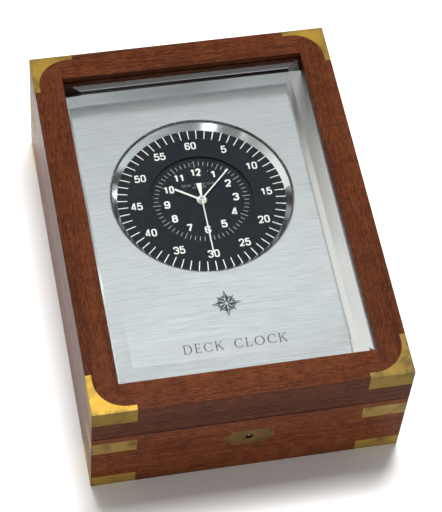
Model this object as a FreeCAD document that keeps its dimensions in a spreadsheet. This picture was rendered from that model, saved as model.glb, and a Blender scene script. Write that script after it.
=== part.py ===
import FreeCAD, Part

import math
import os

import Sketcher

# A ship's deck clock: a brass-bound wooden box with a glazed hinged lid, a metal panel with a recessed
# dial, and a quartz movement behind it. Millimetres. The frame's origin is the centre of the underside,
# X runs to the right, Y to the hinges at the back and Z up. The dial and the movement are laid out about
# a vertical axis at (0, dial_y).

SIZES = {
    # box
    "case_width": 165, "case_length": 225, "case_height": 76, "base_height": 49.8, "lid_gap": 0.4,
    "base_wall": 14.5, "lid_wall": 12, "lid_frame": 16, "lip_depth": 3, "joint_depth": 8,
    "baize_depth": 1.5, "floor_depth": 5,
    # brass corners
    "brass_depth": 1.2, "corner_leg": 23.2, "corner_band": 3.15, "corner_round": 16.35,
    "corner_skirt": 11.6, "strap_leg": 23.5, "upper_strap_low": 34.6, "upper_strap_high": 44.9,
    "lower_strap_high": 9.3,
    # escutcheon and lock
    "plate_width": 26.7, "plate_height": 14, "notch_radius": 4.2, "keyhole_radius": 2.1, "keyhole_z": 31.4,
    "lock_half": 18, "lock_low": 24, "lock_depth": 7, "lock_wall": 1, "lock_cap": 1.5, "lock_flange": 23,
    "lock_screw": 0.8, "lock_screw_head": 1.6, "drill_pin_radius": 0.8, "drill_pin_length": 13.5,
    "board_hole_radius": 2.4, "link_x": 8, "link_half": 0.8, "link_low": 41.5, "link_width": 2.8,
    "link_slot_half": 1.4, "eye_low": 43, "eye_high": 46, "eye_half": 1, "bolt_bar_low": 36,
    "bolt_bar_high": 40, "bolt_bar_left": 14.8, "bolt_bar_right": 4, "bolt_arm": 1.6, "prong_length": 3.6,
    "prong_half": 0.6, "bolt_gap": 0.8, "prong_gap": 0.4, "strike_screw_x": 14.4,
    # hinges
    "hinge_x": 45, "hinge_half": 16, "leaf_width": 10, "leaf_depth": 1.2, "barrel_radius": 2.4,
    "barrel_out": 2.7, "barrel_up": 0.2, "hinge_pin_radius": 1.2, "knuckle": 8, "knuckle_gap": 0.3,
    "hinge_screw": 1.1, "hinge_screw_head": 2.2, "hinge_screw_inset": 4, "running_gap": 0.05,
    # window glass
    "glass_drop": 1.5, "glass_depth": 6, "glass_edge": 3.9, "glass_overlap": 2.5, "bevel_width": 11,
    "bead_depth": 3, "bead_gap": 0.2,
    # surround, panel and ledge rails
    "surround_half_x": 67.8, "surround_half_y": 97.8, "surround_rim": 1, "surround_low": 40,
    "surround_high": 57, "surround_lip": 2.5, "panel_half_x": 60, "panel_half_y": 94, "panel_z": 48,
    "panel_depth": 1.5, "ledge_width": 3.5, "rail_width": 10, "rail_depth": 8, "rail_half": 85,
    "rail_screw_y": 68, "frame_screw": 1.2, "frame_screw_head": 2.4,
    # dial and bezel
    "dial_y": 27.7, "bezel_radius": 50.3, "cone_top": 49, "cone_bottom": 46.2, "ring_z": 43,
    "seat_radius": 49.8, "seat_z": 46.6, "gasket_depth": 0.4, "crystal_depth": 1.1, "bezel_depth": 1.6,
    "flange_radius": 56.2, "stud_circle": 53.9, "stud_radius": 1.5, "stud_low": 40.3, "nut_radius": 3.1,
    "nut_depth": 2.4, "ring_depth": 1.8, "ring_inner": 28.6, "ring_outer": 48.9, "disc_radius": 29.8,
    "disc_depth": 0.5, "foot_circle": 26,
    # movement cup and plates
    "cup_low": 24, "cup_wall": 1.8, "cup_floor": 1.5, "cup_step": 47, "cup_bore": 1.35, "plate_radius": 38,
    "back_plate_depth": 1.5, "front_plate_low": 36.5, "front_plate_depth": 1.5, "pillar_radius": 2,
    "pillar_circle": 33, "plate_screw": 1, "plate_screw_head": 1.9, "top_screw_length": 3.8,
    "bottom_screw_length": 5.3, "minute_post_rise": 2.6,
    # gear train, teeth and modules
    "rotor_teeth": 10, "middle_wheel_teeth": 60, "middle_pinion_teeth": 12, "seconds_wheel_teeth": 60,
    "seconds_pinion_teeth": 8, "third_wheel_teeth": 60, "third_pinion_teeth": 8, "centre_wheel_teeth": 64,
    "cannon_teeth": 12, "minute_wheel_teeth": 36, "minute_pinion_teeth": 10, "hour_wheel_teeth": 40,
    "setting_teeth": 18, "rotor_module": 0.35, "seconds_module": 0.5, "centre_module": 0.5,
    "minute_module": 0.5, "wheel_depth": 0.8, "pinion_lap": 0.4, "seconds_wheel_lift": 1.4,
    "third_wheel_lift": 3.8, "centre_wheel_lift": 6.6, "cannon_lift": 0.3, "hour_wheel_lift": 0.25,
    "hour_wheel_depth": 0.6, "minute_pinion_depth": 1.2,
    # arbors and pipes
    "seconds_arbor": 1, "seconds_arbor_rise": 1, "centre_pipe": 1.6, "centre_pipe_drop": 0.1,
    "hour_pipe": 2.2, "hour_pipe_rise": 1.1, "arbor": 0.9, "knob_radius": 5, "knob_drop": 8,
    "knob_depth": 5, "knob_flutes": 16, "flute_circle": 5.4,
    # hands
    "hour_length": 16.2, "hour_width": 1.1, "minute_length": 25, "minute_width": 0.75,
    "seconds_length": 35.4, "seconds_width": 0.65, "tail_length": 10, "tail_width": 2.9,
    "hand_depth": 0.4, "hand_gap": 0.4, "hour_hand_lift": 0.65, "hour_hub": 2.7, "minute_hub": 2.1,
    "seconds_hub": 1.5, "rest_hour": 10, "rest_minute": 7, "rest_second": 30,
    # motor
    "magnet_radius": 2.7, "magnet_drop": 1, "magnet_depth": 2, "stator_lift": 0.4, "stator_depth": 1.2,
    "stator_half": 13, "stator_window_half": 10, "stator_front": 4.5, "stator_pole": 4,
    "stator_bore": 3.15, "coil_reach": 8, "core_half": 2, "bobbin_half": 8.5, "bobbin_wall": 0.6,
    "bobbin_cheek": 1, "bobbin_rim": 1.6, "bobbin_rim_top": 1.4, "winding_rim": 1.3,
    "winding_rim_top": 1.2,
    # battery and electronics
    "battery_radius": 7.1, "battery_half": 25, "battery_offset": 31, "battery_gap": 1,
    "holder_half": 27.5, "holder_half_width": 8.5, "holder_room_half": 7.3, "holder_low_gap": 0.3,
    "holder_top": 0.8, "board_half": 25.2, "board_half_width": 5, "board_depth": 1,
    "contact_depth": 0.5, "contact_half_width": 2, "contact_low": 2, "slot_half_width": 2.8,
    "cup_slot_gap": 0.6, "holder_slot_gap": 0.1, "can_radius": 1.5, "can_length": 8, "can_x": 12.6,
}

# Tooth proportions: the tooth's share of the pitch, and heights above and below the pitch circle in modules.
TOOTH_SHARE = 0.36
ADDENDUM = 0.7
DEDENDUM = 1.2
FLANK_SLOPE = 0.36

# How the dial divides a turn: the angles of an hour and of a minute or second, in degrees.
MINUTES_IN_HOUR = 60
HOUR_ANGLE = 30
MINUTE_ANGLE = 6

NUT_SIDES = 6

# The smallest length and the smallest volume that count as more than nothing.
LEAST_LENGTH = 1e-9
LEAST_VOLUME = 1e-6

# Where things stand round the dial's axis or round their neighbour in the train, in degrees.
STUD_DIRECTIONS = range(30, 390, 60)
PILLAR_DIRECTIONS = (35, 145, 215, 325)
FOOT_DIRECTIONS = (30, 150, 270)
DIRECTIONS = {"third": 90, "middle": 250, "rotor": 290, "minute": 180, "setting": 175}


class Dim:
    """A size with its value and the spreadsheet expression that drives it."""

    def __init__(self, value, text):
        self.value = value
        self.text = text

    def __add__(self, other):
        other = as_dim(other)
        return Dim(self.value + other.value, f"({self.text} + {other.text})")

    def __radd__(self, other):
        return as_dim(other) + self

    def __sub__(self, other):
        other = as_dim(other)
        return Dim(self.value - other.value, f"({self.text} - {other.text})")

    def __rsub__(self, other):
        return as_dim(other) - self

    def __mul__(self, other):
        other = as_dim(other)
        return Dim(self.value * other.value, f"({self.text} * {other.text})")

    def __rmul__(self, other):
        return as_dim(other) * self

    def __truediv__(self, other):
        other = as_dim(other)
        return Dim(self.value / other.value, f"({self.text} / {other.text})")

    def __neg__(self):
        return Dim(-self.value, f"(0 - {self.text})")


def as_dim(number):
    return number if isinstance(number, Dim) else Dim(float(number), f"({float(number):.6f})")


def value(number):
    return as_dim(number).value


def vector(point):
    return FreeCAD.Vector(*(value(part) for part in point))


class Sheet:
    """The driving dimensions: each becomes an aliased spreadsheet cell and an attribute holding a Dim."""

    def __init__(self, document, sizes):
        self.page = document.addObject("Spreadsheet::Sheet", "Sizes")
        for row, (name, number) in enumerate(sizes.items(), start=1):
            self.page.set(f"A{row}", name)
            self.page.set(f"B{row}", str(number))
            self.page.setAlias(f"B{row}", name)
            setattr(self, name, Dim(float(number), f"Sizes.{name}"))


doc = FreeCAD.newDocument("deck_clock")
s = Sheet(doc, SIZES)
doc.recompute()
nodes = []


# ---------------------------------------------------------------- Part helpers

AXIS_TURNS = {"z": ((0, 0, 1), 0), "x": ((0, 1, 0), 90), "y": ((1, 0, 0), -90)}


def bind(item, path, number):
    """Sets a property, and ties it to the spreadsheet when its value comes from there."""
    if isinstance(number, Dim):
        item.setExpression(path, number.text)
    else:
        setattr(item, path, number)


def place(item, position, axis=(0, 0, 1), angle=0):
    turn = FreeCAD.Rotation(FreeCAD.Vector(*axis), value(angle))
    item.Placement = FreeCAD.Placement(vector(position), turn)
    for letter, part in zip("xyz", position):
        if isinstance(part, Dim):
            item.setExpression(f"Placement.Base.{letter}", part.text)
    if isinstance(angle, Dim):
        item.setExpression("Placement.Rotation.Angle", angle.text)


def box(label, low, high):
    item = doc.addObject("Part::Box", label)
    for side, start, end in zip(("Length", "Width", "Height"), low, high):
        bind(item, side, end - start)
    place(item, low)
    return item


def cylinder(label, radius, start, height, axis="z"):
    item = doc.addObject("Part::Cylinder", label)
    bind(item, "Radius", radius)
    bind(item, "Height", height)
    place(item, start, *AXIS_TURNS[axis])
    return item


def prism(label, sides, radius, start, height):
    item = doc.addObject("Part::Prism", label)
    item.Polygon = sides
    bind(item, "Circumradius", radius)
    bind(item, "Height", height)
    place(item, start)
    return item


def frustum(label, low_half, high_half, low, high):
    """A block between two centred rectangles, low_half at height low and high_half at height high."""
    item = doc.addObject("Part::Wedge", label)
    limits = {
        "Xmin": -low_half[0], "Xmax": low_half[0], "Zmin": -low_half[1], "Zmax": low_half[1],
        "X2min": -high_half[0], "X2max": high_half[0], "Z2min": -high_half[1], "Z2max": high_half[1],
        "Ymin": low, "Ymax": high,
    }
    for path, number in limits.items():
        setattr(item, path, value(number))
        bind(item, path, number)
    place(item, (0, 0, 0), (1, 0, 0), 90)
    return item


def fuse(label, *shapes):
    item = doc.addObject("Part::MultiFuse", label)
    item.Shapes = list(shapes)
    return item


def group(label, *shapes):
    item = doc.addObject("Part::Compound", label)
    item.Links = list(shapes)
    return item


def cut(label, base, *tools):
    item = doc.addObject("Part::Cut", label)
    item.Base = base
    item.Tool = tools[0] if len(tools) == 1 else fuse(f"{label}_cuts", *tools)
    return item


def mirror(label, source, normal):
    item = doc.addObject("Part::Mirroring", label)
    item.Source = source
    item.Normal = FreeCAD.Vector(*normal)
    return item


def four_corners(label, source):
    """The source and its mirror images about the box's two middle planes."""
    across = mirror(f"{label}_across", source, (1, 0, 0))
    back = mirror(f"{label}_back", source, (0, 1, 0))
    return [source, across, back, mirror(f"{label}_opposite", across, (0, 1, 0))]


def node(label, item):
    item.Label = label
    nodes.append(item)
    return item


def span(sign, inner, outer):
    return (inner, outer) if sign > 0 else (-outer, -inner)


def polar(distance, degrees):
    """A point at this distance and direction from the dial's axis, in the frame."""
    turn = math.radians(degrees)
    return (distance * math.cos(turn), distance * math.sin(turn) + s.dial_y)


# ---------------------------------------------------------------- PartDesign helpers

def origin_item(body, role):
    return next(item for item in body.Origin.OriginFeatures if item.Role == role)


def new_body(label, x=0, y=0, angle=0):
    body = doc.addObject("PartDesign::Body", label)
    place(body, (x, y, 0), (0, 0, 1), angle)
    return body


def dial_body(label, angle=0):
    return new_body(label, 0, s.dial_y, angle)


def new_sketch(body, name, role="XY_Plane", offset=0, turn=0):
    item = body.newObject("Sketcher::SketchObject", name)
    item.AttachmentSupport = (origin_item(body, role), "")
    item.MapMode = "FlatFace"
    rotation = FreeCAD.Rotation(FreeCAD.Vector(0, 0, 1), turn)
    item.AttachmentOffset = FreeCAD.Placement(FreeCAD.Vector(0, 0, value(offset)), rotation)
    if isinstance(offset, Dim):
        item.setExpression("AttachmentOffset.Base.z", offset.text)
    return item


def hold(sketch, kind, first, point, number):
    """Holds one coordinate of a sketch point at a size, or on the axis where the size is zero."""
    if abs(value(number)) < LEAST_LENGTH:
        axis = -2 if kind == "DistanceX" else -1
        sketch.addConstraint(Sketcher.Constraint("PointOnObject", first, point, axis))
        return
    index = sketch.addConstraint(Sketcher.Constraint(kind, -1, 1, first, point, value(number)))
    if isinstance(number, Dim):
        sketch.setExpression(f"Constraints[{index}]", number.text)


def polygon(sketch, points):
    ends = [FreeCAD.Vector(value(x), value(y), 0) for x, y in points]
    first = sketch.GeometryCount
    count = len(ends)
    for index, start in enumerate(ends):
        sketch.addGeometry(Part.LineSegment(start, ends[(index + 1) % count]), False)
    for index, (x, y) in enumerate(points):
        following = first + (index + 1) % count
        sketch.addConstraint(Sketcher.Constraint("Coincident", first + index, 2, following, 1))
        hold(sketch, "DistanceX", first + index, 1, x)
        hold(sketch, "DistanceY", first + index, 1, y)


def circle(sketch, radius, x=0, y=0):
    index = sketch.GeometryCount
    centre = FreeCAD.Vector(value(x), value(y), 0)
    sketch.addGeometry(Part.Circle(centre, FreeCAD.Vector(0, 0, 1), value(radius)), False)
    hold(sketch, "DistanceX", index, 3, x)
    hold(sketch, "DistanceY", index, 3, y)
    held = sketch.addConstraint(Sketcher.Constraint("Radius", index, value(radius)))
    if isinstance(radius, Dim):
        sketch.setExpression(f"Constraints[{held}]", radius.text)


def pad(body, name, profile, depth):
    item = body.newObject("PartDesign::Pad", name)
    item.Profile = profile
    bind(item, "Length", depth)
    return item


def revolve(body, name, points):
    """A turned solid from (radius, height) points."""
    profile = new_sketch(body, f"{name}_profile", "XZ_Plane")
    polygon(profile, points)
    item = body.newObject("PartDesign::Revolution", name)
    item.Profile = profile
    item.ReferenceAxis = (profile, ["V_Axis"])
    item.Angle = 360
    return item


def pocket_up(body, name, profile, depth):
    """Cuts upwards from the profile's plane, and makes sure that it removed material."""
    doc.recompute()
    before = body.Shape.Volume
    item = body.newObject("PartDesign::Pocket", name)
    item.Profile = profile
    item.Reversed = True
    bind(item, "Length", depth)
    doc.recompute()
    if body.Shape.Volume > before - LEAST_VOLUME:
        raise RuntimeError(f"{name} removed nothing")
    return item


def repeat_round(body, name, feature, count):
    item = body.newObject("PartDesign::PolarPattern", name)
    item.Originals = [feature]
    item.Axis = (origin_item(body, "Z_Axis"), [""])
    item.Angle = 360
    bind(item, "Occurrences", count)
    body.Tip = item
    return item


def ring_of_circles(sketch, radius, distance, directions):
    for direction in directions:
        turn = math.radians(direction)
        circle(sketch, radius, distance * math.cos(turn), distance * math.sin(turn))


def add_disc(body, name, radius, low, depth, bore=None):
    profile = new_sketch(body, f"{name}_profile", offset=low)
    circle(profile, radius)
    if bore is not None:
        circle(profile, bore)
    return pad(body, name, profile, depth)


def add_gear(body, name, teeth, module, low, depth, gap_direction, bore=None):
    """A spur gear whose teeth leave one gap centred on gap_direction, in degrees."""
    pitch_radius = module * teeth / 2
    tip = pitch_radius + module * ADDENDUM
    root = pitch_radius - module * DEDENDUM
    half_gap = module * (math.pi * (1 - TOOTH_SHARE) / 2)
    inner_half = half_gap - module * (DEDENDUM * FLANK_SLOPE)
    outer_half = half_gap + module * ((ADDENDUM + 1) * FLANK_SLOPE)
    beyond = tip + module
    add_disc(body, f"{name}_rim", tip, low, depth, bore)
    profile = new_sketch(body, f"{name}_gap", offset=low, turn=gap_direction)
    polygon(profile, [(root, -inner_half), (beyond, -outer_half), (beyond, outer_half), (root, inner_half)])
    gap = pocket_up(body, f"{name}_space", profile, depth)
    return repeat_round(body, f"{name}_teeth", gap, teeth)


def screw(label, radius, head_radius, start, length, axis, sign):
    """A countersunk screw from its head's face along an axis; sign gives the way it points."""
    head = head_radius - radius
    turn_axis, turn = AXIS_TURNS[axis]
    if sign < 0:
        turn_axis, turn = ((1, 0, 0), 180) if axis == "z" else ((1, 0, 0), 90)
    flare = doc.addObject("Part::Cone", f"{label}_head")
    bind(flare, "Radius1", head_radius)
    bind(flare, "Radius2", radius)
    bind(flare, "Height", head)
    place(flare, start, turn_axis, turn)
    shank = doc.addObject("Part::Cylinder", f"{label}_shank")
    bind(shank, "Radius", radius)
    bind(shank, "Height", length)
    place(shank, start, turn_axis, turn)
    return fuse(label, flare, shank)


# ---------------------------------------------------------------- lengths used in more than one place

half_width = s.case_width / 2
half_length = s.case_length / 2
joint_y = half_length - s.joint_depth
lid_low = s.base_height + s.lid_gap
lip_z = s.case_height - s.lip_depth
opening_x = half_width - s.lid_frame
opening_y = half_length - s.lid_frame
lid_inner_x = half_width - s.lid_wall
lid_inner_y = half_length - s.lid_wall
cavity_x = half_width - s.base_wall
cavity_y = half_length - s.base_wall
glass_top = s.case_height - s.glass_drop
glass_low = glass_top - s.glass_depth
barrel_y = half_length + s.barrel_out
barrel_z = s.base_height + s.barrel_up
lock_back = -cavity_y
lock_front = lock_back - s.lock_depth


# ---------------------------------------------------------------- brass corners

def corner_bracket():
    """The lid's front left corner bracket: a top plate with a hollow inner curve and two side skirts."""
    top_low = s.case_height - s.brass_depth
    round_centre = s.corner_band + s.corner_round
    left, front = -half_width, -half_length
    plate = box("bracket_plate", (left, front, top_low),
                (left + s.corner_leg, front + s.corner_leg, s.case_height))
    hollow = cylinder("bracket_hollow", s.corner_round, (left + round_centre, front + round_centre, top_low),
                      s.brass_depth)
    beyond_x = box("bracket_beyond_x", (left + round_centre, front + s.corner_band, top_low),
                   (left + s.corner_leg, front + s.corner_leg, s.case_height))
    beyond_y = box("bracket_beyond_y", (left + s.corner_band, front + round_centre, top_low),
                   (left + s.corner_leg, front + s.corner_leg, s.case_height))
    top = cut("bracket_top", plate, hollow, beyond_x, beyond_y)
    skirt_low = s.case_height - s.corner_skirt
    front_skirt = box("bracket_front", (left, front, skirt_low),
                      (left + s.corner_leg, front + s.brass_depth, s.case_height))
    side_skirt = box("bracket_side", (left, front, skirt_low),
                     (left + s.brass_depth, front + s.corner_leg, s.case_height))
    return fuse("bracket", top, front_skirt, side_skirt)


def corner_strap(label, low, high):
    left, front = -half_width, -half_length
    front_leg = box(f"{label}_front", (left, front, low), (left + s.strap_leg, front + s.brass_depth, high))
    side_leg = box(f"{label}_side", (left, front, low), (left + s.brass_depth, front + s.strap_leg, high))
    return fuse(label, front_leg, side_leg)


brackets = four_corners("bracket", corner_bracket())
lid_corners = node("lid_corner_brackets", group("lid_corner_brackets", *brackets))
upper_strap = corner_strap("upper_strap", s.upper_strap_low, s.upper_strap_high)
lower_strap = corner_strap("lower_strap", as_dim(0), s.lower_strap_high)
all_straps = [*four_corners("upper_strap", upper_strap), *four_corners("lower_strap", lower_strap)]
base_straps = node("base_corner_straps", group("base_corner_straps", *all_straps))


# ---------------------------------------------------------------- hinges

def hinge_parts(side, sign):
    """One butt hinge: its two leaves with their knuckles, its pin and its screws."""
    middle = s.hinge_x * sign
    low_x, high_x = middle - s.hinge_half, middle + s.hinge_half
    leaf_y = half_length - s.leaf_width
    lid_knuckle_low = low_x + s.knuckle + s.knuckle_gap
    lid_knuckle_high = high_x - s.knuckle - s.knuckle_gap

    def leaf(label, z_low, z_high, knuckles, bore_radius):
        plate = box(f"{label}_plate", (low_x, leaf_y, z_low), (high_x, half_length, z_high))
        pieces = [plate]
        for number, (start, end) in enumerate(knuckles):
            pieces.append(box(f"{label}_tongue_{number}", (start, half_length, z_low),
                              (end, barrel_y, z_high)))
            pieces.append(cylinder(f"{label}_barrel_{number}", s.barrel_radius, (start, barrel_y, barrel_z),
                                   end - start, "x"))
        whole = fuse(f"{label}_whole", *pieces)
        bore = cylinder(f"{label}_bore", bore_radius, (low_x, barrel_y, barrel_z), high_x - low_x, "x")
        return cut(label, whole, bore)

    def screws(label, z, sign_z):
        screw_y = leaf_y + s.hinge_screw_inset
        places = (low_x + s.knuckle / 2, high_x - s.knuckle / 2)
        return [screw(f"{label}_{number}", s.hinge_screw, s.hinge_screw_head, (x, screw_y, z), s.leaf_width,
                      "z", sign_z)
                for number, x in enumerate(places)]

    base_leaf = leaf(f"{side}_base_leaf", s.base_height - s.leaf_depth, s.base_height,
                     [(low_x, low_x + s.knuckle), (high_x - s.knuckle, high_x)], s.hinge_pin_radius)
    lid_leaf = leaf(f"{side}_lid_leaf", lid_low, lid_low + s.leaf_depth,
                    [(lid_knuckle_low, lid_knuckle_high)], s.hinge_pin_radius + s.running_gap)
    pin = cylinder(f"{side}_hinge_pin", s.hinge_pin_radius, (low_x - s.knuckle_gap, barrel_y, barrel_z),
                   high_x - low_x + s.knuckle_gap * 2, "x")
    base_screws = screws(f"{side}_base_screw", s.base_height, -1)
    lid_screws = screws(f"{side}_lid_screw", lid_low, 1)
    return base_leaf, lid_leaf, pin, base_screws, lid_screws


left_hinge = hinge_parts("left", -1)
right_hinge = hinge_parts("right", 1)
base_hinge_screws = node("hinge_base_screws", group("hinge_base_screws", *left_hinge[3], *right_hinge[3]))
lid_hinge_screws = node("hinge_lid_screws", group("hinge_lid_screws", *left_hinge[4], *right_hinge[4]))
base_leaf_blank = group("base_leaf_blank", left_hinge[0], right_hinge[0])
lid_leaf_blank = group("lid_leaf_blank", left_hinge[1], right_hinge[1])
base_leaves = node("hinge_base_leaves", cut("hinge_base_leaves", base_leaf_blank, base_hinge_screws))
lid_leaves = node("hinge_lid_leaves", cut("hinge_lid_leaves", lid_leaf_blank, lid_hinge_screws))
node("hinge_pins", group("hinge_pins", left_hinge[2], right_hinge[2]))


# ---------------------------------------------------------------- lock, escutcheon and strike plate

def escutcheon_plate():
    half, tall = s.plate_width / 2, s.plate_height / 2
    low, high = s.keyhole_z - tall, s.keyhole_z + tall
    front, back = -half_length, -half_length + s.brass_depth
    blank = box("escutcheon_blank", (-half, front, low), (half, back, high))
    notches = [cylinder(f"escutcheon_notch_{number}", s.notch_radius, (x, front, z), s.brass_depth, "y")
               for number, (x, z) in enumerate(((-half, low), (half, low), (-half, high), (half, high)))]
    return cut("escutcheon_shape", blank, *notches)


def keyhole(label, radius, front, length):
    return cylinder(label, radius, (0, front, s.keyhole_z), length, "y")


def lock_screws():
    start_x = (s.lock_half + s.lock_flange) / 2
    height = (s.lock_low + s.base_height) / 2
    return [screw(f"lock_screw_{number}", s.lock_screw, s.lock_screw_head,
                  (start_x * sign, lock_back, height), s.lock_depth, "y", -1)
            for number, sign in enumerate((-1, 1))]


lock_fixings = node("lock_screws", group("lock_screws", *lock_screws()))
escutcheon_blank = escutcheon_plate()
node("escutcheon", cut("escutcheon", escutcheon_blank,
                       keyhole("escutcheon_hole", s.keyhole_radius, -half_length, s.brass_depth)))
lock_block = box("lock_block", (-s.lock_half, lock_front, s.lock_low),
                 (s.lock_half, lock_back, s.base_height))
lock_flange = box("lock_flange", (-s.lock_flange, lock_back - s.lock_wall, s.lock_low),
                  (s.lock_flange, lock_back, s.base_height))
lock_outline = fuse("lock_outline", lock_block, lock_flange)
lock_cavity = box("lock_cavity",
                  (-s.lock_half + s.lock_cap, lock_front + s.lock_wall, s.lock_low + s.lock_cap),
                  (s.lock_half - s.lock_cap, lock_back - s.lock_wall, s.base_height - s.lock_cap))
cavity_low_y, cavity_high_y = lock_front + s.lock_wall, lock_back - s.lock_wall
link_slots = [box(f"link_slot_{number}",
                  (s.link_x * sign - s.link_slot_half, cavity_low_y, s.base_height - s.lock_cap),
                  (s.link_x * sign + s.link_slot_half, cavity_high_y, s.base_height))
              for number, sign in enumerate((-1, 1))]
lock_hole = keyhole("lock_hole", s.keyhole_radius, lock_front, s.lock_wall)
lock_shell = cut("lock_shell", lock_outline, lock_cavity, *link_slots, lock_hole, lock_fixings)
drill_pin = keyhole("drill_pin", s.drill_pin_radius, lock_back - s.drill_pin_length, s.drill_pin_length)
node("lock_case", fuse("lock_case", lock_shell, drill_pin))

link_middle = (cavity_low_y + cavity_high_y) / 2
prong_front, prong_back = link_middle - s.prong_half, link_middle + s.prong_half
prong_low, prong_high = s.eye_low + s.prong_gap, s.eye_high - s.prong_gap
bolt_bar = box("bolt_bar", (-s.bolt_bar_left, cavity_low_y + s.bolt_gap, s.bolt_bar_low),
               (s.bolt_bar_right, cavity_high_y - s.bolt_gap, s.bolt_bar_high))
bolt_pieces = [bolt_bar]
for number, sign in enumerate((-1, 1)):
    prong_end = s.link_x * sign - s.link_half - s.bolt_gap
    arm_end = prong_end - s.prong_length
    bolt_pieces.append(box(f"bolt_arm_{number}", (arm_end - s.bolt_arm, prong_front, s.bolt_bar_low),
                           (arm_end, prong_back, prong_high)))
    bolt_pieces.append(box(f"bolt_prong_{number}", (arm_end, prong_front, prong_low),
                           (prong_end, prong_back, prong_high)))
node("lock_bolt", fuse("lock_bolt", *bolt_pieces))

strike_screws = node("strike_screws", group("strike_screws", *[
    screw(f"strike_screw_{number}", s.lock_screw, s.lock_screw_head,
          (s.strike_screw_x * sign, link_middle, lid_low), s.leaf_width, "z", 1)
    for number, sign in enumerate((-1, 1))]))
strike_flat = box("strike_flat", (-s.lock_half, lock_front, lid_low),
                  (s.lock_half, -lid_inner_y, lid_low + s.leaf_depth))
strike_pieces = [strike_flat]
for number, sign in enumerate((-1, 1)):
    link_x = s.link_x * sign
    blank = box(f"link_{number}", (link_x - s.link_half, link_middle - s.link_width / 2, s.link_low),
                (link_x + s.link_half, link_middle + s.link_width / 2, lid_low))
    eye = box(f"link_eye_{number}", (link_x - s.link_half, link_middle - s.eye_half, s.eye_low),
              (link_x + s.link_half, link_middle + s.eye_half, s.eye_high))
    strike_pieces.append(cut(f"link_shape_{number}", blank, eye))
strike_blank = fuse("strike_blank", *strike_pieces)
node("strike_plate", cut("strike_plate", strike_blank, strike_screws))


# ---------------------------------------------------------------- wooden box

for side, sign in (("left", -1), ("right", 1)):
    low_x, high_x = span(sign, cavity_x, half_width)
    blank = box(f"base_{side}_blank", (low_x, -joint_y, as_dim(0)), (high_x, joint_y, s.base_height))
    node(f"base_{side}_board", cut(f"base_{side}_board", blank, base_straps))
    low_x, high_x = span(sign, lid_inner_x, half_width)
    wall = box(f"lid_{side}_wall", (low_x, -joint_y, lid_low), (high_x, joint_y, s.case_height))
    low_x, high_x = span(sign, opening_x, lid_inner_x)
    lip = box(f"lid_{side}_lip", (low_x, -joint_y, lip_z), (high_x, joint_y, s.case_height))
    node(f"lid_{side}_rail", cut(f"lid_{side}_rail", fuse(f"lid_{side}_blank", wall, lip), lid_corners))

end_cuts = {
    "front": [base_straps, escutcheon_blank, lock_outline, lock_fixings,
              keyhole("board_keyhole", s.board_hole_radius, -half_length, s.base_wall)],
    "back": [base_straps, base_leaves, base_hinge_screws],
}
lid_end_cuts = {
    "front": [lid_corners, strike_flat, strike_screws],
    "back": [lid_corners, lid_leaves, lid_hinge_screws],
}
for end, sign in (("front", -1), ("back", 1)):
    low_y, high_y = span(sign, joint_y, half_length)
    outer = box(f"base_{end}_outer", (-half_width, low_y, as_dim(0)), (half_width, high_y, s.base_height))
    low_y, high_y = span(sign, cavity_y, joint_y)
    inner = box(f"base_{end}_inner", (-cavity_x, low_y, as_dim(0)), (cavity_x, high_y, s.base_height))
    blank = fuse(f"base_{end}_blank", outer, inner)
    node(f"base_{end}_board", cut(f"base_{end}_board", blank, *end_cuts[end]))

    low_y, high_y = span(sign, joint_y, half_length)
    outer = box(f"lid_{end}_outer", (-half_width, low_y, lid_low), (half_width, high_y, s.case_height))
    low_y, high_y = span(sign, lid_inner_y, joint_y)
    wall = box(f"lid_{end}_wall", (-lid_inner_x, low_y, lid_low), (lid_inner_x, high_y, lip_z))
    low_y, high_y = span(sign, opening_y, joint_y)
    lip = box(f"lid_{end}_lip", (-opening_x, low_y, lip_z), (opening_x, high_y, s.case_height))
    blank = fuse(f"lid_{end}_blank", outer, wall, lip)
    node(f"lid_{end}_rail", cut(f"lid_{end}_rail", blank, *lid_end_cuts[end]))

node("baize_pad", box("baize_pad", (-cavity_x, -cavity_y, as_dim(0)), (cavity_x, cavity_y, s.baize_depth)))
node("bottom_board", box("bottom_board", (-cavity_x, -cavity_y, s.baize_depth),
                         (cavity_x, cavity_y, s.baize_depth + s.floor_depth)))


# ---------------------------------------------------------------- window glass and its beads

rim_x, rim_y = opening_x + s.glass_overlap, opening_y + s.glass_overlap
edge_top = glass_low + s.glass_edge
glass_slab = box("glass_slab", (-rim_x, -rim_y, glass_low), (rim_x, rim_y, edge_top))
glass_bevel = frustum("glass_bevel", (rim_x, rim_y), (rim_x - s.bevel_width, rim_y - s.bevel_width),
                      edge_top, glass_top)
node("window_glass", fuse("window_glass", glass_slab, glass_bevel))

bead_inner_x, bead_inner_y = opening_x + s.bead_gap, opening_y + s.bead_gap
beads = []
for number, sign in enumerate((-1, 1)):
    low_x, high_x = span(sign, bead_inner_x, lid_inner_x)
    beads.append(box(f"side_bead_{number}", (low_x, -lid_inner_y, glass_low - s.bead_depth),
                     (high_x, lid_inner_y, glass_low)))
    low_y, high_y = span(sign, bead_inner_y, lid_inner_y)
    beads.append(box(f"end_bead_{number}", (-bead_inner_x, low_y, glass_low - s.bead_depth),
                     (bead_inner_x, high_y, glass_low)))
node("glazing_beads", group("glazing_beads", *beads))


# ---------------------------------------------------------------- surround, ledge rails and panel

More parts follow.
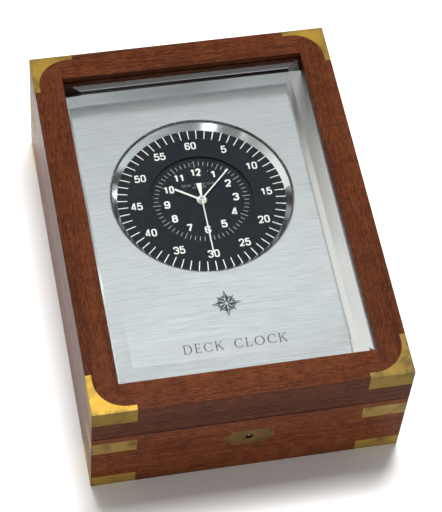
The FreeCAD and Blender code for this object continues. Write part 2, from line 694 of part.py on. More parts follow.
panel_low = s.panel_z - s.panel_depth
rail_inner = cavity_x - s.rail_width
frame_screw_x = (rail_inner + s.surround_half_x) / 2
frame_screws = node("surround_screws", group("surround_screws", *[
    screw(f"surround_screw_{number}", s.frame_screw, s.frame_screw_head,
          (frame_screw_x * side, s.rail_screw_y * along, s.surround_low - s.rail_depth),
          s.rail_depth + s.ledge_width, "z", 1)
    for number, (side, along) in enumerate((x, y) for x in (-1, 1) for y in (-1, 0, 1))]))
rail_blanks = []
for side, sign in (("left", -1), ("right", 1)):
    low_x, high_x = span(sign, rail_inner, cavity_x)
    rail_blanks.append(box(f"{side}_rail_blank", (low_x, -s.rail_half, s.surround_low - s.rail_depth),
                           (high_x, s.rail_half, s.surround_low)))
node("ledge_rails", cut("ledge_rails", group("rail_blanks", *rail_blanks), frame_screws))

surround_block = box("surround_block", (-s.surround_half_x, -s.surround_half_y, s.surround_low),
                     (s.surround_half_x, s.surround_half_y, s.surround_high))
surround_through = box("surround_through",
                       (-s.panel_half_x + s.ledge_width, -s.panel_half_y + s.ledge_width, s.surround_low),
                       (s.panel_half_x - s.ledge_width, s.panel_half_y - s.ledge_width, panel_low))
slope_low = s.panel_z + s.surround_lip
surround_recess = box("surround_recess", (-s.panel_half_x, -s.panel_half_y, panel_low),
                      (s.panel_half_x, s.panel_half_y, slope_low))
surround_slope = frustum("surround_slope", (s.panel_half_x, s.panel_half_y),
                         (s.surround_half_x - s.surround_rim, s.surround_half_y - s.surround_rim),
                         slope_low, s.surround_high)
node("surround_frame", cut("surround_frame", surround_block, surround_through, surround_recess,
                           surround_slope, frame_screws))

panel_body = new_body("steel_panel")
panel_profile = new_sketch(panel_body, "panel_profile", offset=panel_low)
polygon(panel_profile, [(-s.panel_half_x, -s.panel_half_y), (s.panel_half_x, -s.panel_half_y),
                        (s.panel_half_x, s.panel_half_y), (-s.panel_half_x, s.panel_half_y)])
circle(panel_profile, s.bezel_radius + s.running_gap, 0, s.dial_y)
pad(panel_body, "panel_plate", panel_profile, s.panel_depth)
stud_profile = new_sketch(panel_body, "stud_profile", offset=s.stud_low)
for direction in STUD_DIRECTIONS:
    circle(stud_profile, s.stud_radius, *polar(s.stud_circle, direction))
pad(panel_body, "panel_studs", stud_profile, panel_low - s.stud_low)
node("steel_panel", panel_body)


# ---------------------------------------------------------------- bezel, crystal and dial

bezel_body = dial_body("bezel_ring")
revolve(bezel_body, "bezel_turned", [
    (s.cone_bottom, s.ring_z), (s.ring_outer, s.ring_z), (s.ring_outer, panel_low - s.bezel_depth),
    (s.flange_radius, panel_low - s.bezel_depth), (s.flange_radius, panel_low), (s.bezel_radius, panel_low),
    (s.bezel_radius, s.panel_z), (s.seat_radius, s.panel_z), (s.seat_radius, s.seat_z),
    (s.cone_top, s.seat_z),
])
bezel_holes = new_sketch(bezel_body, "bezel_holes", offset=panel_low - s.bezel_depth)
ring_of_circles(bezel_holes, s.stud_radius, s.stud_circle, STUD_DIRECTIONS)
pocket_up(bezel_body, "bezel_stud_holes", bezel_holes, s.bezel_depth)
node("bezel_ring", bezel_body)

gasket_body = dial_body("crystal_gasket")
add_disc(gasket_body, "gasket_ring", s.seat_radius, s.seat_z, s.gasket_depth, s.cone_top + s.running_gap)
node("crystal_gasket", gasket_body)

crystal_body = dial_body("dial_crystal")
add_disc(crystal_body, "crystal_disc", s.seat_radius, s.seat_z + s.gasket_depth, s.crystal_depth)
node("dial_crystal", crystal_body)

ring_low = s.ring_z - s.ring_depth
ring_body = dial_body("chapter_ring")
add_disc(ring_body, "ring_plate", s.ring_outer, ring_low, s.ring_depth, s.ring_inner)
node("chapter_ring", ring_body)

disc_low = ring_low - s.disc_depth
front_plate_high = s.front_plate_low + s.front_plate_depth
disc_body = dial_body("centre_dial")
add_disc(disc_body, "disc_plate", s.disc_radius, disc_low, s.disc_depth, s.hour_pipe + s.running_gap * 4)
foot_profile = new_sketch(disc_body, "foot_profile", offset=front_plate_high)
ring_of_circles(foot_profile, s.arbor, s.foot_circle, FOOT_DIRECTIONS)
pad(disc_body, "dial_feet", foot_profile, disc_low - front_plate_high)
node("centre_dial", disc_body)


# ---------------------------------------------------------------- movement cup

cup_body = dial_body("cup_turning")
cup_outer = s.ring_outer + s.cup_wall
flange_top = panel_low - s.bezel_depth
revolve(cup_body, "cup_turned", [
    (0, s.cup_low), (cup_outer, s.cup_low), (cup_outer, flange_top - s.bezel_depth),
    (s.flange_radius, flange_top - s.bezel_depth), (s.flange_radius, flange_top), (s.ring_outer, flange_top),
    (s.ring_outer, ring_low), (s.cup_step, ring_low), (s.cup_step, s.cup_low + s.cup_floor),
    (0, s.cup_low + s.cup_floor),
])
cup_holes = new_sketch(cup_body, "cup_stud_holes", offset=flange_top - s.bezel_depth)
ring_of_circles(cup_holes, s.stud_radius, s.stud_circle, STUD_DIRECTIONS)
pocket_up(cup_body, "cup_stud_pocket", cup_holes, s.bezel_depth)

nuts = []
for number, direction in enumerate(STUD_DIRECTIONS):
    start = (*polar(s.stud_circle, direction), flange_top - s.bezel_depth - s.nut_depth)
    blank = prism(f"nut_{number}", NUT_SIDES, s.nut_radius, start, s.nut_depth)
    bore = cylinder(f"nut_bore_{number}", s.stud_radius, start, s.nut_depth)
    nuts.append(cut(f"nut_shape_{number}", blank, bore))
node("panel_nuts", group("panel_nuts", *nuts))


# ---------------------------------------------------------------- arbor positions and heights of the train

third_module = s.centre_module * (s.third_pinion_teeth + s.centre_wheel_teeth) \
    / (s.seconds_pinion_teeth + s.third_wheel_teeth)
hour_module = s.minute_module * (s.cannon_teeth + s.minute_wheel_teeth) \
    / (s.minute_pinion_teeth + s.hour_wheel_teeth)
third_reach = s.centre_module * (s.third_pinion_teeth + s.centre_wheel_teeth) / 2
middle_reach = s.seconds_module * (s.middle_pinion_teeth + s.seconds_wheel_teeth) / 2
rotor_reach = s.rotor_module * (s.rotor_teeth + s.middle_wheel_teeth) / 2
minute_reach = s.minute_module * (s.cannon_teeth + s.minute_wheel_teeth) / 2
setting_reach = s.minute_module * (s.minute_wheel_teeth + s.setting_teeth) / 2


def step(origin, distance, degrees):
    turn = math.radians(degrees)
    return (origin[0] + distance * math.cos(turn), origin[1] + distance * math.sin(turn))


centre = (as_dim(0), s.dial_y)
third_at = step(centre, third_reach, DIRECTIONS["third"])
middle_at = step(centre, middle_reach, DIRECTIONS["middle"])
rotor_at = step(middle_at, rotor_reach, DIRECTIONS["rotor"])
minute_at = step(centre, minute_reach, DIRECTIONS["minute"])
setting_at = step(minute_at, setting_reach, DIRECTIONS["setting"])

back_plate_low = s.cup_low + s.cup_floor
train_low = back_plate_low + s.back_plate_depth
seconds_wheel_z = train_low + s.seconds_wheel_lift
third_wheel_z = train_low + s.third_wheel_lift
centre_wheel_z = train_low + s.centre_wheel_lift
cannon_z = front_plate_high + s.cannon_lift
hour_wheel_z = cannon_z + s.wheel_depth + s.hour_wheel_lift
arbor_length = front_plate_high - back_plate_low
pinion_depth = s.wheel_depth + s.pinion_lap * 2
fit = s.running_gap


# ---------------------------------------------------------------- movement plates, pillars and screws

def plate_shape(label, low, depth, bores):
    """A round movement plate; bores are (x, y, radius) in the frame."""
    blank = cylinder(f"{label}_blank", s.plate_radius, (as_dim(0), s.dial_y, low), depth)
    holes = [cylinder(f"{label}_bore_{number}", radius, (x, y, low), depth)
             for number, (x, y, radius) in enumerate(bores)]
    return cut(f"{label}_drilled", blank, *holes)


pillars, pillar_screws = [], []
for number, direction in enumerate(PILLAR_DIRECTIONS):
    x, y = polar(s.pillar_circle, direction)
    pillars.append(cylinder(f"pillar_{number}", s.pillar_radius, (x, y, train_low),
                            s.front_plate_low - train_low))
    pillar_screws.append(screw(f"top_screw_{number}", s.plate_screw, s.plate_screw_head,
                               (x, y, front_plate_high), s.top_screw_length, "z", -1))
    pillar_screws.append(screw(f"bottom_screw_{number}", s.plate_screw, s.plate_screw_head,
                               (x, y, s.cup_low), s.bottom_screw_length, "z", 1))
plate_screws = node("plate_screws", group("plate_screws", *pillar_screws))
node("plate_pillars", cut("plate_pillars", group("pillar_blanks", *pillars), plate_screws))

arbor_bores = [(*at, s.arbor + fit) for at in (third_at, middle_at, rotor_at, setting_at)]
contact_y = s.dial_y + s.battery_offset
contact_spans = [span(sign, s.board_half, s.board_half + s.contact_depth) for sign in (-1, 1)]


def contact_openings(label, side_gap, low, high):
    """Two slots round the battery's contacts, with a gap at each side."""
    return [box(f"{label}_{number}", (low_x - side_gap, contact_y - s.slot_half_width, low),
                (high_x + side_gap, contact_y + s.slot_half_width, high))
            for number, (low_x, high_x) in enumerate(contact_spans)]


contact_slots = contact_openings("contact_slot", s.cup_slot_gap, s.cup_low, train_low)
back_bores = [*arbor_bores, (*centre, s.seconds_arbor + fit)]
back_drilled = plate_shape("back_plate", back_plate_low, s.back_plate_depth, back_bores)
node("back_plate", cut("back_plate", back_drilled, plate_screws, *contact_slots))
front_bores = [*arbor_bores, (*centre, s.centre_pipe + fit)]
front_drilled = plate_shape("front_plate", s.front_plate_low, s.front_plate_depth, front_bores)
minute_post = cylinder("minute_post", s.arbor, (*minute_at, s.front_plate_low),
                       s.front_plate_depth + s.minute_post_rise)
node("front_plate", fuse("front_plate", cut("front_plate_clear", front_drilled, plate_screws), minute_post))

setting_bore = cylinder("cup_setting_bore", s.cup_bore, (*setting_at, s.cup_low), s.cup_floor)
node("movement_cup", cut("movement_cup_pierced", cup_body, plate_screws, *contact_slots, setting_bore))


# ---------------------------------------------------------------- wheels

def tooth_toward(direction, teeth):
    """The direction of a gap when a tooth faces direction."""
    return direction + 180 / value(teeth)


seconds_body = dial_body("seconds_wheel")
add_disc(seconds_body, "seconds_arbor", s.seconds_arbor, back_plate_low,
         s.ring_z + s.seconds_arbor_rise - back_plate_low)
add_gear(seconds_body, "seconds_gear", s.seconds_wheel_teeth, s.seconds_module, seconds_wheel_z,
         s.wheel_depth, tooth_toward(DIRECTIONS["middle"], s.seconds_wheel_teeth))
add_gear(seconds_body, "seconds_pinion", s.seconds_pinion_teeth, third_module,
         third_wheel_z - s.pinion_lap, pinion_depth, DIRECTIONS["third"])
node("seconds_wheel", seconds_body)

third_body = new_body("third_wheel", *third_at)
add_disc(third_body, "third_arbor", s.arbor, back_plate_low, arbor_length)
add_gear(third_body, "third_gear", s.third_wheel_teeth, third_module, third_wheel_z, s.wheel_depth,
         tooth_toward(DIRECTIONS["third"] + 180, s.third_wheel_teeth))
add_gear(third_body, "third_pinion", s.third_pinion_teeth, s.centre_module,
         centre_wheel_z - s.pinion_lap, pinion_depth, DIRECTIONS["third"] + 180)
node("third_wheel", third_body)

centre_body = dial_body("centre_wheel")
cannon_top = s.ring_z - s.centre_pipe_drop
add_gear(centre_body, "centre_gear", s.centre_wheel_teeth, s.centre_module, centre_wheel_z, s.wheel_depth,
         tooth_toward(DIRECTIONS["third"], s.centre_wheel_teeth), s.seconds_arbor + fit)
add_disc(centre_body, "centre_tube", s.centre_pipe, centre_wheel_z, cannon_top - centre_wheel_z,
         s.seconds_arbor + fit)
add_gear(centre_body, "cannon_pinion", s.cannon_teeth, s.minute_module, cannon_z, s.wheel_depth,
         DIRECTIONS["minute"], s.seconds_arbor + fit)
node("centre_wheel", centre_body)

minute_body = new_body("minute_wheel", *minute_at)
add_gear(minute_body, "minute_gear", s.minute_wheel_teeth, s.minute_module, cannon_z, s.wheel_depth,
         tooth_toward(DIRECTIONS["minute"] + 180, s.minute_wheel_teeth), s.arbor + fit)
add_gear(minute_body, "minute_pinion", s.minute_pinion_teeth, hour_module, cannon_z + s.wheel_depth,
         s.minute_pinion_depth, DIRECTIONS["minute"] + 180, s.arbor + fit)
node("minute_wheel", minute_body)

hour_body = dial_body("hour_wheel")
add_gear(hour_body, "hour_gear", s.hour_wheel_teeth, hour_module, hour_wheel_z, s.hour_wheel_depth,
         tooth_toward(DIRECTIONS["minute"], s.hour_wheel_teeth), s.centre_pipe + fit)
add_disc(hour_body, "hour_tube", s.hour_pipe, hour_wheel_z, ring_low + s.hour_pipe_rise - hour_wheel_z,
         s.centre_pipe + fit)
node("hour_wheel", hour_body)

middle_body = new_body("intermediate_wheel", *middle_at)
add_disc(middle_body, "middle_arbor", s.arbor, back_plate_low, arbor_length)
add_gear(middle_body, "middle_gear", s.middle_wheel_teeth, s.rotor_module, third_wheel_z, s.wheel_depth,
         tooth_toward(DIRECTIONS["rotor"], s.middle_wheel_teeth))
add_gear(middle_body, "middle_pinion", s.middle_pinion_teeth, s.seconds_module,
         seconds_wheel_z - s.pinion_lap, pinion_depth, DIRECTIONS["middle"] + 180)
node("intermediate_wheel", middle_body)

rotor_body = new_body("rotor", *rotor_at)
rotor_magnet_z = centre_wheel_z - s.magnet_drop
add_disc(rotor_body, "rotor_arbor", s.arbor, back_plate_low, arbor_length)
add_gear(rotor_body, "rotor_pinion", s.rotor_teeth, s.rotor_module, third_wheel_z - s.pinion_lap,
         pinion_depth, DIRECTIONS["rotor"] + 180)
add_disc(rotor_body, "rotor_magnet", s.magnet_radius, rotor_magnet_z, s.magnet_depth)
node("rotor", rotor_body)

setting_body = new_body("setting_arbor", *setting_at)
knob_low = s.cup_low - s.knob_drop
add_disc(setting_body, "setting_rod", s.arbor, knob_low, cannon_z + s.wheel_depth - knob_low)
add_gear(setting_body, "setting_pinion", s.setting_teeth, s.minute_module, cannon_z, s.wheel_depth,
         tooth_toward(DIRECTIONS["setting"] + 180, s.setting_teeth))
node("setting_arbor", setting_body)

knob_body = new_body("setting_knob", *setting_at)
add_disc(knob_body, "knob_disc", s.knob_radius, knob_low, s.knob_depth, s.arbor)
knob_grip = new_sketch(knob_body, "knob_grip", offset=knob_low)
circle(knob_grip, s.arbor, s.flute_circle, 0)
flute = pocket_up(knob_body, "knob_flute", knob_grip, s.knob_depth)
repeat_round(knob_body, "knob_flutes", flute, s.knob_flutes)
node("setting_knob", knob_body)


# ---------------------------------------------------------------- hands

minutes = s.rest_minute + s.rest_second / MINUTES_IN_HOUR
hour_turn = -((s.rest_hour + minutes / MINUTES_IN_HOUR) * HOUR_ANGLE)
minute_turn = -(minutes * MINUTE_ANGLE)
second_turn = -(s.rest_second * MINUTE_ANGLE)


def hand(label, low, turn, bore, length, width, hub, tail=None):
    """A flat hand that points along its own Y, turned to its rest angle."""
    body = dial_body(label, turn)
    blade = new_sketch(body, f"{label}_blade", offset=low)
    half = width / 2
    polygon(blade, [(-half, hub / 2), (half, hub / 2), (half, length), (-half, length)])
    pad(body, f"{label}_blade_pad", blade, s.hand_depth)
    if tail is not None:
        reach, spread = tail
        back = new_sketch(body, f"{label}_tail", offset=low)
        polygon(back, [(-half, -hub / 2), (-spread / 2, -reach), (spread / 2, -reach), (half, -hub / 2)])
        pad(body, f"{label}_tail_pad", back, s.hand_depth)
    add_disc(body, f"{label}_hub", hub, low, s.hand_depth)
    hole = new_sketch(body, f"{label}_bore", offset=low)
    circle(hole, bore)
    pocket_up(body, f"{label}_hole", hole, s.hand_depth)
    node(label, body)


hour_hand_z = ring_low + s.hour_hand_lift
minute_hand_z = hour_hand_z + s.hand_depth + s.hand_gap
second_hand_z = minute_hand_z + s.hand_depth + s.hand_gap
hand("hour_hand", hour_hand_z, hour_turn, s.hour_pipe, s.hour_length, s.hour_width, s.hour_hub)
hand("minute_hand", minute_hand_z, minute_turn, s.centre_pipe, s.minute_length, s.minute_width, s.minute_hub)
hand("seconds_hand", second_hand_z, second_turn, s.seconds_arbor, s.seconds_length, s.seconds_width,
     s.seconds_hub, (s.tail_length, s.tail_width))


# ---------------------------------------------------------------- motor and electronics

stator_low = rotor_magnet_z + s.stator_lift
stator_high = stator_low + s.stator_depth
stator_x, stator_y = rotor_at
coil_y = stator_y - s.coil_reach


def across_motor(label, half, low, high):
    """A block centred on the rotor's X, between the (y, z) corners low and high."""
    return box(label, (stator_x - half, *low), (stator_x + half, *high))


stator_outer = across_motor("stator_outer", s.stator_half, (coil_y - s.core_half, stator_low),
                            (stator_y + s.stator_front, stator_high))
stator_window = across_motor("stator_window", s.stator_window_half, (coil_y + s.core_half, stator_low),
                             (stator_y - s.stator_pole, stator_high))
stator_hole = cylinder("stator_hole", s.stator_bore, (*rotor_at, stator_low), s.stator_depth)
node("stator", cut("stator", stator_outer, stator_window, stator_hole))


def round_core(label, half, side, under, over):
    """A block round the coil's core, larger than it by side, under and over."""
    return across_motor(label, half, (coil_y - s.core_half - side, stator_low - under),
                        (coil_y + s.core_half + side, stator_high + over))


bobbin_core = round_core("bobbin_core", s.bobbin_half, s.bobbin_wall, s.bobbin_wall, s.bobbin_wall)
bobbin_flanges = round_core("bobbin_flanges", s.bobbin_half, s.bobbin_rim, s.bobbin_rim, s.bobbin_rim_top)
winding_half = s.bobbin_half - s.bobbin_cheek
bobbin_waist = round_core("bobbin_waist", winding_half, s.bobbin_rim, s.bobbin_rim, s.bobbin_rim_top)
bobbin_bore = round_core("bobbin_bore", s.bobbin_half, 0, 0, 0)
bobbin_ends = cut("bobbin_ends", bobbin_flanges, bobbin_waist)
node("coil_bobbin", cut("coil_bobbin", fuse("bobbin_blank", bobbin_core, bobbin_ends), bobbin_bore))
winding_blank = round_core("winding_blank", winding_half, s.winding_rim, s.winding_rim, s.winding_rim_top)
winding_bore = round_core("winding_bore", winding_half, s.bobbin_wall, s.bobbin_wall, s.bobbin_wall)
node("coil_winding", cut("coil_winding", winding_blank, winding_bore))

node("circuit_board", box("circuit_board", (-s.board_half, contact_y - s.board_half_width, train_low),
                          (s.board_half, contact_y + s.board_half_width, train_low + s.board_depth)))
can_z = train_low + s.board_depth + s.can_radius
node("quartz_can", cylinder("quartz_can", s.can_radius, (s.can_x, contact_y, can_z), s.can_length, "x"))

battery_z = s.cup_low - s.battery_radius - s.battery_gap
holder_low = battery_z - s.battery_radius - s.holder_low_gap
holder_ceiling = s.cup_low - s.holder_top
room_half = s.board_half + s.contact_depth
node("battery", cylinder("battery", s.battery_radius, (-s.battery_half, contact_y, battery_z),
                         s.battery_half * 2, "x"))
holder_blank = box("holder_blank", (-s.holder_half, contact_y - s.holder_half_width, holder_low),
                   (s.holder_half, contact_y + s.holder_half_width, s.cup_low))
holder_room = box("holder_room", (-room_half, contact_y - s.holder_room_half, holder_low),
                  (room_half, contact_y + s.holder_room_half, holder_ceiling))
holder_slots = contact_openings("holder_slot", s.holder_slot_gap, holder_ceiling, s.cup_low)
node("battery_holder", cut("battery_holder", holder_blank, holder_room, *holder_slots))
node("battery_contacts", group("battery_contacts", *[
    box(f"contact_{number}", (low_x, contact_y - s.contact_half_width, battery_z - s.contact_low),
        (high_x, contact_y + s.contact_half_width, train_low + s.board_depth))
    for number, (low_x, high_x) in enumerate(contact_spans)]))


# ---------------------------------------------------------------- checks and files

doc.recompute()
for item in doc.Objects:
    if "Invalid" in item.State or "Error" in item.State:
        raise RuntimeError(f"{item.Name} ({item.Label}) did not recompute: {item.State}")
os.makedirs("parts", exist_ok=True)
for item in nodes:
    shape = item.Shape
    if shape.isNull() or not shape.isValid() or not shape.Solids:
        raise RuntimeError(f"{item.Label} has no valid solid")
for item in nodes:
    item.Shape.exportStep(f"parts/{item.Label}.step")
print(len(nodes), "nodes")
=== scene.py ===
import math
import random

import bpy
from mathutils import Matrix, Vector


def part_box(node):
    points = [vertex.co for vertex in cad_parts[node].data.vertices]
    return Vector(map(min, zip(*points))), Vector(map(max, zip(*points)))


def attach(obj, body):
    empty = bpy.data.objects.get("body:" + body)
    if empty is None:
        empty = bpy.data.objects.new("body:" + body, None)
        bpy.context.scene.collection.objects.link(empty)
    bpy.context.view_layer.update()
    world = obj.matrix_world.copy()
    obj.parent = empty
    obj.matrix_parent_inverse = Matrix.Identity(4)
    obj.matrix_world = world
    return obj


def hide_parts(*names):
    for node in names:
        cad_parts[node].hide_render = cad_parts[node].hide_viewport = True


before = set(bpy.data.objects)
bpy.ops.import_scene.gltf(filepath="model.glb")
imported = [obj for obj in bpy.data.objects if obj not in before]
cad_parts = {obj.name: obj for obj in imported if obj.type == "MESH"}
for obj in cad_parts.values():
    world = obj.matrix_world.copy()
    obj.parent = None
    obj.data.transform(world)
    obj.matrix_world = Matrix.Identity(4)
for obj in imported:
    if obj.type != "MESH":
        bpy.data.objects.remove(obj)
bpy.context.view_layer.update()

# A ship's deck clock. Metres, in the frame of the CAD: the origin is the centre of the underside, X runs to
# the right, Y to the hinges at the back and Z up.

MM = 0.001
PRINT_DEPTH = 0.02 * MM
PRINT_LAYER = 0.004 * MM
RING_LOW, RING_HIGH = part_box("chapter_ring")
LID_LOW, LID_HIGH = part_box("lid_front_rail")
DIAL_Y = (RING_LOW[1] + RING_HIGH[1]) / 2
RING_TOP = RING_HIGH[2]
DISC_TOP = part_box("centre_dial")[1][2]
PANEL_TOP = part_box("steel_panel")[1][2]
HALF_WIDTH = LID_HIGH[0]
HALF_LENGTH = -LID_LOW[1]
SEAM_Z = (LID_LOW[2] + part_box("base_front_board")[1][2]) / 2


# ---------------------------------------------------------------- node trees

class Nodes:
    """A material's node tree, with short ways to add the nodes used here."""

    def __init__(self, name):
        self.material = bpy.data.materials.new(name)
        self.material.use_nodes = True
        self.tree = self.material.node_tree
        self.tree.nodes.clear()
        self.output = self.add("ShaderNodeOutputMaterial")

    def add(self, kind, inputs=None, **settings):
        item = self.tree.nodes.new(kind)
        for name, setting in settings.items():
            setattr(item, name, setting)
        for name, source in (inputs or {}).items():
            self.feed(item.inputs[name], source)
        return item

    def feed(self, socket, source):
        if isinstance(source, bpy.types.NodeSocket):
            self.tree.links.new(source, socket)
        else:
            socket.default_value = source

    def place(self, scale=(1, 1, 1), turn=(0, 0, 0), shift=(0, 0, 0)):
        """Object coordinates, scaled, turned and shifted."""
        where = self.add("ShaderNodeTexCoord").outputs["Object"]
        mapping = self.add("ShaderNodeMapping", {"Vector": where, "Scale": scale,
                                                 "Rotation": turn, "Location": shift})
        return mapping.outputs["Vector"]

    def noise(self, where, scale, detail=3.0, rough=0.55, distortion=0.0):
        item = self.add("ShaderNodeTexNoise", {"Vector": where, "Scale": scale, "Detail": detail,
                                               "Roughness": rough, "Distortion": distortion})
        return item.outputs["Fac"]

    def ramp(self, factor, stops):
        """Colours at places from 0 to 1; a stop is (place, colour)."""
        item = self.add("ShaderNodeValToRGB", {"Fac": factor})
        while len(item.color_ramp.elements) < len(stops):
            item.color_ramp.elements.new(0.5)
        for element, (place, colour) in zip(item.color_ramp.elements, stops):
            element.position = place
            element.color = (*colour, 1.0)
        return item.outputs["Color"]

    def span(self, factor, low, high, to_low=0.0, to_high=1.0):
        """factor between low and high, moved to the span from to_low to to_high."""
        item = self.add("ShaderNodeMapRange", {"Value": factor, "From Min": low, "From Max": high,
                                               "To Min": to_low, "To Max": to_high})
        return item.outputs["Result"]

    def blend(self, factor, first, second, kind="MIX"):
        item = self.add("ShaderNodeMix", data_type="RGBA", blend_type=kind)
        self.feed(item.inputs[0], factor)
        self.feed(item.inputs[6], first if isinstance(first, bpy.types.NodeSocket) else (*first, 1.0))
        self.feed(item.inputs[7], second if isinstance(second, bpy.types.NodeSocket) else (*second, 1.0))
        return item.outputs[2]

    def math(self, kind, first, second):
        item = self.add("ShaderNodeMath", operation=kind)
        self.feed(item.inputs[0], first)
        self.feed(item.inputs[1], second)
        return item.outputs[0]

    def bump(self, height, strength, distance, normal=None):
        item = self.add("ShaderNodeBump", {"Height": height, "Strength": strength, "Distance": distance})
        if normal is not None:
            self.feed(item.inputs["Normal"], normal)
        return item.outputs["Normal"]

    def soft_edges(self, radius):
        """The surface's normal, turned at its edges as if they were rounded."""
        return self.add("ShaderNodeBevel", {"Radius": radius}, samples=6).outputs[0]

    def principled(self, **inputs):
        """Finishes the material; an input's name is written with _ for each space."""
        names = {name.replace("_", " "): source for name, source in inputs.items()}
        shader = self.add("ShaderNodeBsdfPrincipled", names)
        self.tree.links.new(shader.outputs[0], self.output.inputs["Surface"])


def wood(name, grain, seed, tone=1.0):
    """Varnished mahogany, dark at the lid's seam; seed shifts the figure and tone lightens the colour."""
    n = Nodes(name)
    turn = {"x": (0, 0, 0), "y": (0, 0, math.radians(-90))}[grain]
    shift = (seed * 0.37, seed * 0.21, seed * 0.13)
    along = n.place((1, 1, 1), turn, shift)

    def stretched(lengthwise, across):
        item = n.add("ShaderNodeMapping", {"Vector": along, "Scale": (lengthwise, across, across)})
        return item.outputs["Vector"]

    bands = n.noise(stretched(5, 60), 1.0, 3.0, 0.5, 0.6)
    streaks = n.noise(stretched(26, 520), 1.0, 4.0, 0.65, 0.5)
    pores = n.noise(stretched(240, 2600), 1.0, 2.0, 0.6, 0.2)
    flecks = n.noise(stretched(190, 1900), 1.3, 3.0, 0.6, 0.5)
    ripple = n.noise(stretched(170, 48), 1.0, 3.0, 0.6, 0.8)
    fine = n.noise(along, 1100, 2.0, 0.6)
    base = n.ramp(bands, [(0.25, (0.040, 0.008, 0.0025)), (0.42, (0.076, 0.017, 0.005)),
                          (0.6, (0.115, 0.029, 0.0085)), (0.8, (0.160, 0.045, 0.013))])
    streaked = n.blend(n.span(streaks, 0.42, 0.62, 0.0, 0.7), base, (0.155, 0.043, 0.013))
    rippled = n.blend(n.span(ripple, 0.42, 0.68, 0.0, 0.45), streaked, (0.050, 0.011, 0.004))
    lit = n.blend(n.span(flecks, 0.54, 0.68, 0.0, 0.55), rippled, (0.26, 0.088, 0.030))
    pored = n.blend(n.span(pores, 0.50, 0.64, 0.0, 0.7), lit, (0.028, 0.006, 0.0025))
    coloured = n.blend(n.span(fine, 0.3, 0.7, 0.0, 0.15), pored, (0.05, 0.013, 0.006))
    toned = n.blend(1.0, coloured, (tone, tone, tone), "MULTIPLY")
    height = n.add("ShaderNodeSeparateXYZ", {"Vector": n.place()}).outputs["Z"]
    from_seam = n.math("ABSOLUTE", n.math("SUBTRACT", height, SEAM_Z), 0.0)
    facing = n.add("ShaderNodeSeparateXYZ", {"Vector": n.add("ShaderNodeTexCoord").outputs["Normal"]})
    upright = n.span(n.math("ABSOLUTE", facing.outputs["Z"], 0.0), 0.5, 0.8, 1.0, 0.0)
    seam = n.math("MULTIPLY", upright, n.span(from_seam, 0.3 * MM, 0.9 * MM, 0.9, 0.0))
    toned = n.blend(seam, toned, (0.010, 0.003, 0.002))
    lift = n.bump(n.math("ADD", pores, n.math("MULTIPLY", fine, 0.5)), 0.2, 0.0002, n.soft_edges(0.0006))
    n.principled(Base_Color=toned, Roughness=n.span(streaks, 0.3, 0.7, 0.5, 0.62), Normal=lift,
                 Specular_IOR_Level=0.03, Coat_Weight=0.4, Coat_Roughness=0.12, Coat_IOR=1.12)
    return n.material


def brass(name, tone, specks, rough, worn=0.0):
    """Aged brass: tone is its colour, specks how far it is spotted, worn how dark its corners are; with
    worn, painted light also lightens its feet and near left corner.
    """
    n = Nodes(name)
    where = n.place()
    stains = n.noise(where, 90, 4.0, 0.6, 0.3)
    spots = n.noise(where, 900, 2.0, 0.7)
    fine = n.noise(where, 2600, 2.0, 0.6)
    dull = tuple(part * 0.55 for part in tone)
    light = tuple(min(1.0, part * 1.12) for part in tone)
    colour = n.ramp(stains, [(0.3, dull), (0.46, tone), (0.75, light)])
    colour = n.blend(n.span(spots, 0.64, 0.70, 0.0, specks), colour, (0.04, 0.028, 0.016))
    if worn:
        axes = n.add("ShaderNodeSeparateXYZ", {"Vector": where}).outputs
        facing = n.add("ShaderNodeSeparateXYZ", {"Vector": n.add("ShaderNodeTexCoord").outputs["Normal"]})
        to_side = n.math("SUBTRACT", HALF_WIDTH, n.math("ABSOLUTE", axes["X"], 0.0))
        to_end = n.math("SUBTRACT", HALF_LENGTH, n.math("ABSOLUTE", axes["Y"], 0.0))
        near = n.math("MINIMUM", to_side, to_end)
        far = n.math("MAXIMUM", to_side, to_end)
        top = n.span(facing.outputs["Z"], 0.7, 0.9)
        edge = n.math("ADD", n.math("MULTIPLY", top, near),
                      n.math("MULTIPLY", n.math("SUBTRACT", 1.0, top), far))
        ragged = n.math("MULTIPLY", n.noise(where, 330, 4.0, 0.65), 6.5 * MM)
        rubbed = n.span(n.math("SUBTRACT", edge, ragged), -3.6 * MM, -2.2 * MM, worn, 0.0)
        # Painted light: the feet are painted lighter against the shade near the floor, and the top at the
        # near left corner is painted lighter.
        near_corner_painted_light = n.span(n.math("ADD", axes["X"], axes["Y"]), -0.15, -0.13, 1.0, 0.0)
        foot = n.span(axes["Z"], 0.012, 0.03, 0.3, 0.0)
        painted_light = n.math("ADD", n.math("MULTIPLY", top, near_corner_painted_light), foot)
        colour = n.blend(painted_light, colour, (2.1, 2.05, 1.6), "MULTIPLY")
        colour = n.blend(rubbed, colour, (0.075, 0.070, 0.066))
    n.principled(Base_Color=colour, Metallic=0.92, Roughness=n.span(stains, 0.3, 0.7, rough + 0.1, rough),
                 Normal=n.bump(n.math("ADD", fine, spots), 0.15, 0.00005, n.soft_edges(0.0003)),
                 Coat_Weight=0.12, Coat_Roughness=0.33)
    return n.material


def metal(name, colour, rough, texture=None):
    """A plain metal; texture is the scale and the strength of its fine unevenness."""
    n = Nodes(name)
    edges = n.soft_edges(0.0001)
    if texture is None:
        n.principled(Base_Color=(*colour, 1.0), Metallic=1.0, Roughness=rough, Normal=edges)
        return n.material
    scale, strength = texture
    pattern = n.noise(n.place(), scale, 3.0, 0.6)
    shade = tuple(part * 0.8 for part in colour)
    n.principled(Base_Color=n.ramp(pattern, [(0.3, shade), (0.7, colour)]), Metallic=1.0,
                 Roughness=n.span(pattern, 0.3, 0.7, rough + 0.08, rough),
                 Normal=n.bump(pattern, strength, 0.00005, edges))
    return n.material


